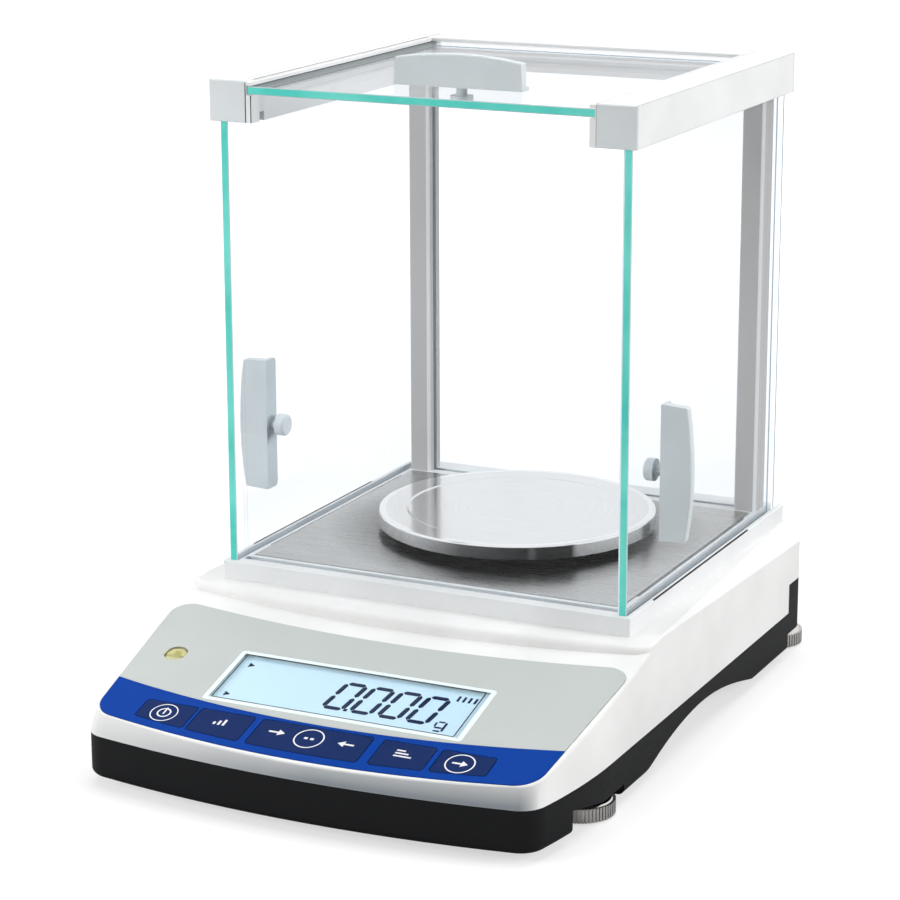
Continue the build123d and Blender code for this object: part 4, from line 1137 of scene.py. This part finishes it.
@dataclass
class DraftShield(SubAssembly):
    """Glass panes and posts, each with a finish that knows its place, and the joint lines with their
    painted shadow.
    """

    title: str = "shield"
    # Painted shadow: the top pane's edges are a darker grey, the dark line of the gap to the rails.
    top_edge_gap_shade: str = "#AEB9BB"
    front_line: str = "#F2F7F8"
    PANES: ClassVar[dict] = {
        "front_glass": Axis.Y,
        "rear_glass": Axis.Y,
        "left_door_glass": Axis.X,
        "right_door_glass": Axis.X,
        "top_door_glass": Axis.Z,
    }
    BOX_FACES: ClassVar[tuple] = (
        (0, 1, 3, 2),
        (4, 6, 7, 5),
        (0, 4, 5, 1),
        (2, 3, 7, 6),
        (0, 2, 6, 4),
        (1, 5, 7, 3),
    )
    # Low and high corner of each line, in millimetres.
    # Dark strips: joints with painted shadow in their gaps. Light strips: joints and painted shade
    # along the rails' top edges.
    SEAMS: ClassVar[dict] = {
        "joint_shadow_dark": (
            ((-82.1, -46.04, 269.8), (-81.75, -46.0, 287.2)),
            ((-79.6, -46.04, 269.8), (-79.1, -46.0, 281.6)),
            ((-82.2, -38.9, 287.8), (-81.9, 144.6, 287.84)),
        ),
        "joint_shade_light": (
            ((-86.6, -38.9, 287.8), (-86.3, 144.6, 287.83)),
            ((-100.0, -45.9, 287.8), (-99.75, 144.6, 287.83)),
            ((99.7, -45.9, 287.8), (100.0, 144.6, 287.83)),
            ((81.9, -45.9, 287.8), (82.15, 144.6, 287.83)),
        ),
    }

    def build(self) -> None:
        """Paints each pane and post and adds the joint lines with their painted shadow."""
        for node, axis in self.PANES.items():
            own = {}
            if axis is Axis.Z:
                own["dull_edge"] = self.top_edge_gap_shade
            if node == "front_glass":
                own["inner_line"] = self.front_line
            low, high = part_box(node)
            glass = PaneGlass("shield_" + node, axis, tuple(low), tuple(high), **own)
            self.paint(node, self.palette.add(glass))
        for node in ("left_post", "right_post"):
            post = ChamferHighlightPost(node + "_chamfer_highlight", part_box(node)[1].x)
            self.paint(node, self.palette.add(post))
        for shade, lines in self.SEAMS.items():
            self.seam(shade, lines)

    def seam(self, shade: str, lines: tuple) -> None:
        """Adds the fine joint lines of one shade, partly painted shadow in their gaps, which show on
        the rails and the front caps.

        Args:
            shade: Name of their material.
            lines: Low and high corner of each line.
        """
        verts = []
        faces = []
        for ends in lines:
            start = len(verts)
            xs, ys, zs = zip(*ends)
            verts.extend((x, y, z) for x in xs for y in ys for z in zs)
            faces.extend(tuple(start + i for i in face) for face in self.BOX_FACES)
        scale = Matrix.Scale(MM, 4)
        joint_lines = mesh_object("shield_" + shade, verts, faces, scale, self.palette.get(shade))
        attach(joint_lines, "base")
        LOG.info("%s: %s drawn", self.title, shade)


@dataclass
class ControlPanel(SubAssembly):
    """The display's cells, the line round its window and the signs on the keys."""

    title: str = "panel"
    ink_lift: float = 0.37
    frame_lift: float = 0.24
    frame_width: float = 0.6
    frame_across: tuple[float, float] = (-57.2, 56.6)
    frame_up: tuple[float, float] = (-85.2, -52.2)
    fuller: float = 1.17
    cell_reach: tuple[float, float] = (2.0, 8.0)
    line_reach: float = 20.0
    weld: float = 1e-6
    power_at: tuple[float, float] = (-71.0, -101.9)
    cal_at: tuple[float, float] = (-46.0, -103.8)
    tare_at: tuple[float, float] = (-1.2, -102.6)
    unit_at: tuple[float, float] = (38.2, -103.8)
    print_at: tuple[float, float] = (67.4, -102.0)

    def frame_line(self) -> None:
        """Prints the line round the display window."""
        left, right = self.frame_across
        low, high = self.frame_up
        line = Shapes()
        line.stroke(left, low, right, low, self.frame_width)
        line.stroke(left, high, right, high, self.frame_width)
        line.stroke(left, low, left, high, self.frame_width)
        line.stroke(right, low, right, high, self.frame_width)
        line.build("lcd_frame_print", self.frame_lift, self.palette.get("ink_dark"), "base")

    def islands(self, cells: bmesh.types.BMesh) -> list[set]:
        """Sorts a mesh's vertices into the pieces that they belong to.

        Args:
            cells: The mesh, with its doubles merged.

        Returns:
            One set of vertices for each piece.
        """
        found = []
        left_over = set(cells.verts)
        while left_over:
            island = set()
            queue = [left_over.pop()]
            while queue:
                vert = queue.pop()
                island.add(vert)
                for edge in vert.link_edges:
                    other = edge.other_vert(vert)
                    if other in left_over:
                        left_over.discard(other)
                        queue.append(other)
            found.append(island)
        return found

    def cells(self) -> None:
        """Draws the display's cells a little fuller and leaves out the CAD's long lines."""
        cells = bmesh.new()
        cells.from_mesh(self.frame["nodes"]["lcd_segments"].data)
        bmesh.ops.remove_doubles(cells, verts=cells.verts, dist=self.weld)
        least, most = self.cell_reach
        for island in self.islands(cells):
            middle = sum((v.co for v in island), Vector()) / len(island)
            reach = max((v.co - middle).length for v in island) / MM
            if reach > self.line_reach:
                bmesh.ops.delete(cells, geom=list(island), context="VERTS")
            elif least < reach < most:
                for vert in island:
                    vert.co = middle + (vert.co - middle) * self.fuller
        mesh = bpy.data.meshes.new("lcd_segments_full")
        cells.to_mesh(mesh)
        cells.free()
        mesh.materials.append(self.palette.get("segment_blue"))
        full = bpy.data.objects.new("lcd_segments_full", mesh)
        bpy.context.scene.collection.objects.link(full)
        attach(full, "base")
        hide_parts("lcd_segments")

    def power_sign(self) -> Shapes:
        """Draws two rings and an upright stroke."""
        x, y = self.power_at
        sign = Shapes()
        sign.ring(x, y, 6.2, 5.7)
        sign.ring(x, y, 3.2, 2.5)
        sign.stroke(x, y - 1.0, x, y + 3.7, 0.7)
        return sign

    def cal_sign(self) -> Shapes:
        """Draws three rising bars."""
        x, y = self.cal_at
        pitch, first, rise = 2.2, 1.8, 1.2
        sign = Shapes()
        for i in range(3):
            sign.stroke(x + pitch * i, y, x + pitch * i, y + first + rise * i, 1.1)
        return sign

    def tare_sign(self) -> Shapes:
        """Draws a ring round two dashes, between two arrows that point at it."""
        x, y = self.tare_at
        sign = Shapes()
        sign.ring(x, y, 6.6, 6.0)
        sign.stroke(x - 2.2, y, x - 0.6, y, 1.3)
        sign.stroke(x + 0.6, y, x + 2.2, y, 1.3)
        sign.arrow(x - 15.3, y + 0.6, 7.5, 1)
        sign.arrow(x + 16.9, y + 0.4, 7.5, -1)
        return sign

    def unit_sign(self) -> Shapes:
        """Draws three lines, each shorter than the one below it."""
        x, y = self.unit_at
        pitch, longest, less = 1.9, 8.0, 2.0
        sign = Shapes()
        for i in range(3):
            sign.stroke(x, y + pitch * i, x + longest - less * i, y + pitch * i, 0.9)
        return sign

    def print_sign(self) -> Shapes:
        """Draws an arrow in a ring."""
        x, y = self.print_at
        sign = Shapes()
        sign.ring(x, y, 6.4, 5.8)
        sign.arrow(x, y, 7.0, 1)
        return sign

    def build(self) -> None:
        """Adds the display's cells and print and the generic key signs."""
        self.frame_line()
        self.cells()
        signs = {
            "key_power": self.power_sign(),
            "key_cal": self.cal_sign(),
            "key_tare": self.tare_sign(),
            "key_unit": self.unit_sign(),
            "key_print": self.print_sign(),
        }
        for key, sign in signs.items():
            sign.build(key + "_sign", self.ink_lift, self.palette.get("ink_white"), key)


@dataclass
class Feet(SubAssembly):
    """Levelling wheels with knurled rims."""

    title: str = "feet"
    radius: float = 15.0
    height: float = 7.0
    chamfer: float = 0.6
    stud_radius: float = 3.0
    knurl_depth: float = 1.2
    ridge_width: float = 1.05
    ridge_sink: float = 0.05
    ridge_margin: float = 0.5
    ridges: int = 58
    pocket_radius: float = 4.05
    pocket_top: float = 3.2
    clearance: float = 0.02

    def profile(self, top: float) -> list[tuple[float, float]]:
        """Draws half the section of a wheel with its stud and the pad's pocket.

        Args:
            top: Height of the stud's end over the wheel's underside.

        Returns:
            Radius and height pairs, from the axis and back to it.
        """
        core = self.radius - self.knurl_depth
        return [
            (0.0, self.pocket_top),
            (self.pocket_radius, self.pocket_top),
            (self.pocket_radius, self.clearance),
            (core - self.chamfer, self.clearance),
            (core, self.chamfer),
            (core, self.height - self.chamfer),
            (core - self.chamfer, self.height),
            (self.stud_radius, self.height),
            (self.stud_radius, top),
            (0.0, top),
        ]

    def build(self) -> None:
        """Builds one knurled wheel for each CAD wheel."""
        knurl = Knurl()
        metal = self.palette.get("wheel_metal")
        values = {
            "Radius": (self.radius - self.knurl_depth / 2 - self.ridge_sink) * MM,
            "Ridge Width": self.ridge_width * MM,
            "Ridge Depth": self.knurl_depth * MM,
            "Height": (self.height - 2 * self.ridge_margin) * MM,
            "Count": self.ridges,
            "Material": metal,
        }
        half_height = self.height * MM / 2
        for word in ("front_left", "front_right", "rear_left", "rear_right"):
            node = "wheel_" + word
            low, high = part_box(node)
            wheel = lathe(node + "_knurled", self.profile((high.z - low.z) / MM), metal)
            wheel.data.transform(Matrix.Translation((0.0, 0.0, -half_height)))
            knurl.apply(wheel, values)
            middle = (low + high) / 2
            place = (middle.x, middle.y, low.z + half_height)
            wheel.data.transform(Matrix.Translation(place))
            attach(wheel, node)
            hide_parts(node)
            LOG.info("%s: %s knurled", self.title, node)


@dataclass
class Studio:
    """Camera, floor, surroundings and lamps."""

    eye: tuple[float, float, float] = (0.5340, -1.1170, 0.4522)
    azimuth: float = 25.829
    elevation: float = 14.941
    roll: float = -0.155
    lens: float = 114.65
    sensor: float = 36.0
    clip: tuple[float, float] = (0.01, 50.0)
    aim: tuple[float, float, float] = (0.0, 0.0, 0.12)
    floor_half: float = 4.0
    floor_grey: float = 0.46
    floor_fade: tuple[float, float] = (0.4, 1.3)
    floor_light: tuple[float, float] = (0.6, 1.0)
    front_to_back: tuple[float, float] = (-0.5, 0.5)
    ambient: tuple[float, float] = (0.2, 0.36)
    mirrored: float = 0.97
    # Name, place and size in metres, and power in watts.
    LAMPS: ClassVar[tuple] = (
        ("top_box", (0.0, 0.35, 1.5), (1.6, 1.2), 17.0),
        ("right_box", (1.6, 0.15, 0.7), (1.0, 1.0), 17.5),
        ("left_box", (-0.8, -0.85, 0.45), (0.5, 0.5), 9.0),
    )

    def camera(self) -> None:
        """Makes the camera, for a square picture."""
        data = bpy.data.cameras.new("camera")
        data.lens = self.lens
        data.sensor_width = self.sensor
        data.clip_start, data.clip_end = self.clip
        cam = bpy.data.objects.new("camera", data)
        bpy.context.scene.collection.objects.link(cam)
        a = math.radians(self.azimuth)
        e = math.radians(self.elevation)
        look = Vector((-math.sin(a) * math.cos(e), math.cos(a) * math.cos(e), -math.sin(e)))
        cam.rotation_mode = "QUATERNION"
        turn = look.to_track_quat("-Z", "Y").to_matrix().to_4x4()
        turn = turn @ Matrix.Rotation(math.radians(self.roll), 4, "Z")
        cam.rotation_quaternion = turn.to_quaternion()
        cam.location = self.eye
        bpy.context.scene.camera = cam

    def floor(self) -> None:
        """Makes the pale floor, which looks plain white to the camera apart from the shadow."""
        g = Graph(bpy.data.materials.new("studio_floor"))
        path = g.add("LightPath").node.outputs
        rays = (path["Is Camera Ray"], path["Is Transmission Ray"])
        seen = g.add("Math", *rays, operation="MAXIMUM")
        lit = g.add("BsdfDiffuse", {"Color": (self.floor_grey,) * 3 + (1.0,)})
        away = g.add("VectorMath", g.coords, out="Value", operation="LENGTH")
        glow = g.add("MapRange", away, *self.floor_fade, *self.floor_light)
        strength = g.add("Math", seen, glow, operation="MULTIPLY")
        fill = g.add("Emission", {"Color": WHITE, "Strength": strength})
        material = g.finish(g.add("AddShader", lit, fill))
        half = self.floor_half
        corners = [(-half, -half, 0), (half, -half, 0), (half, half, 0), (-half, half, 0)]
        plane = mesh_object("floor", corners, [(0, 1, 2, 3)], Matrix.Identity(4), material)

    def world(self) -> None:
        """Makes surroundings that look white, mirror bright and light the scale softly."""
        world = bpy.data.worlds.new("studio")
        bpy.context.scene.world = world
        g = Graph(world)
        path = g.add("LightPath").node.outputs
        depth = g.add("SeparateXYZ", g.add("TexCoord", out="Generated"), out=1)
        soft = g.add("MapRange", depth, *self.front_to_back, *self.ambient)
        shader = g.add("Background", {"Color": WHITE, "Strength": soft})
        rays = {"Is Glossy Ray": self.mirrored, "Is Transmission Ray": 1.0, "Is Camera Ray": 1.0}
        for ray, strength in rays.items():
            plain = g.add("Background", {"Color": WHITE, "Strength": strength})
            shader = g.add("MixShader", path[ray], shader, plain)
        g.finish(shader)

    def lamp(self, name: str, place: tuple, size: tuple, watts: float) -> None:
        """Adds a soft box that points at the scale and shows in no mirror.

        Args:
            name: Name of the lamp.
            place: Position in metres.
            size: Width and height in metres.
            watts: Power.
        """
        data = bpy.data.lights.new(name, "AREA")
        data.shape = "RECTANGLE"
        data.size, data.size_y = size
        data.energy = watts
        lamp = bpy.data.objects.new(name, data)
        lamp.location = place
        aim = Vector(self.aim) - Vector(place)
        lamp.rotation_euler = aim.to_track_quat("-Z", "Y").to_euler()
        lamp.visible_glossy = False
        bpy.context.scene.collection.objects.link(lamp)

    def build(self) -> None:
        """Sets up the whole studio."""
        self.camera()
        self.floor()
        self.world()
        for lamp in self.LAMPS:
            self.lamp(*lamp)
        bpy.context.scene.view_settings.view_transform = "Standard"


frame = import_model()


def main() -> None:
    """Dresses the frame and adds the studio."""
    logging.basicConfig(level=logging.INFO, format="%(message)s")
    palette = Palette()
    palette.fill()
    for maker in (Body, DraftShield, ControlPanel, Feet):
        part = maker(frame, palette)
        part.build()
        LOG.info("built %s", part.title)
    Studio().build()


if __name__ == "__main__":
    main()
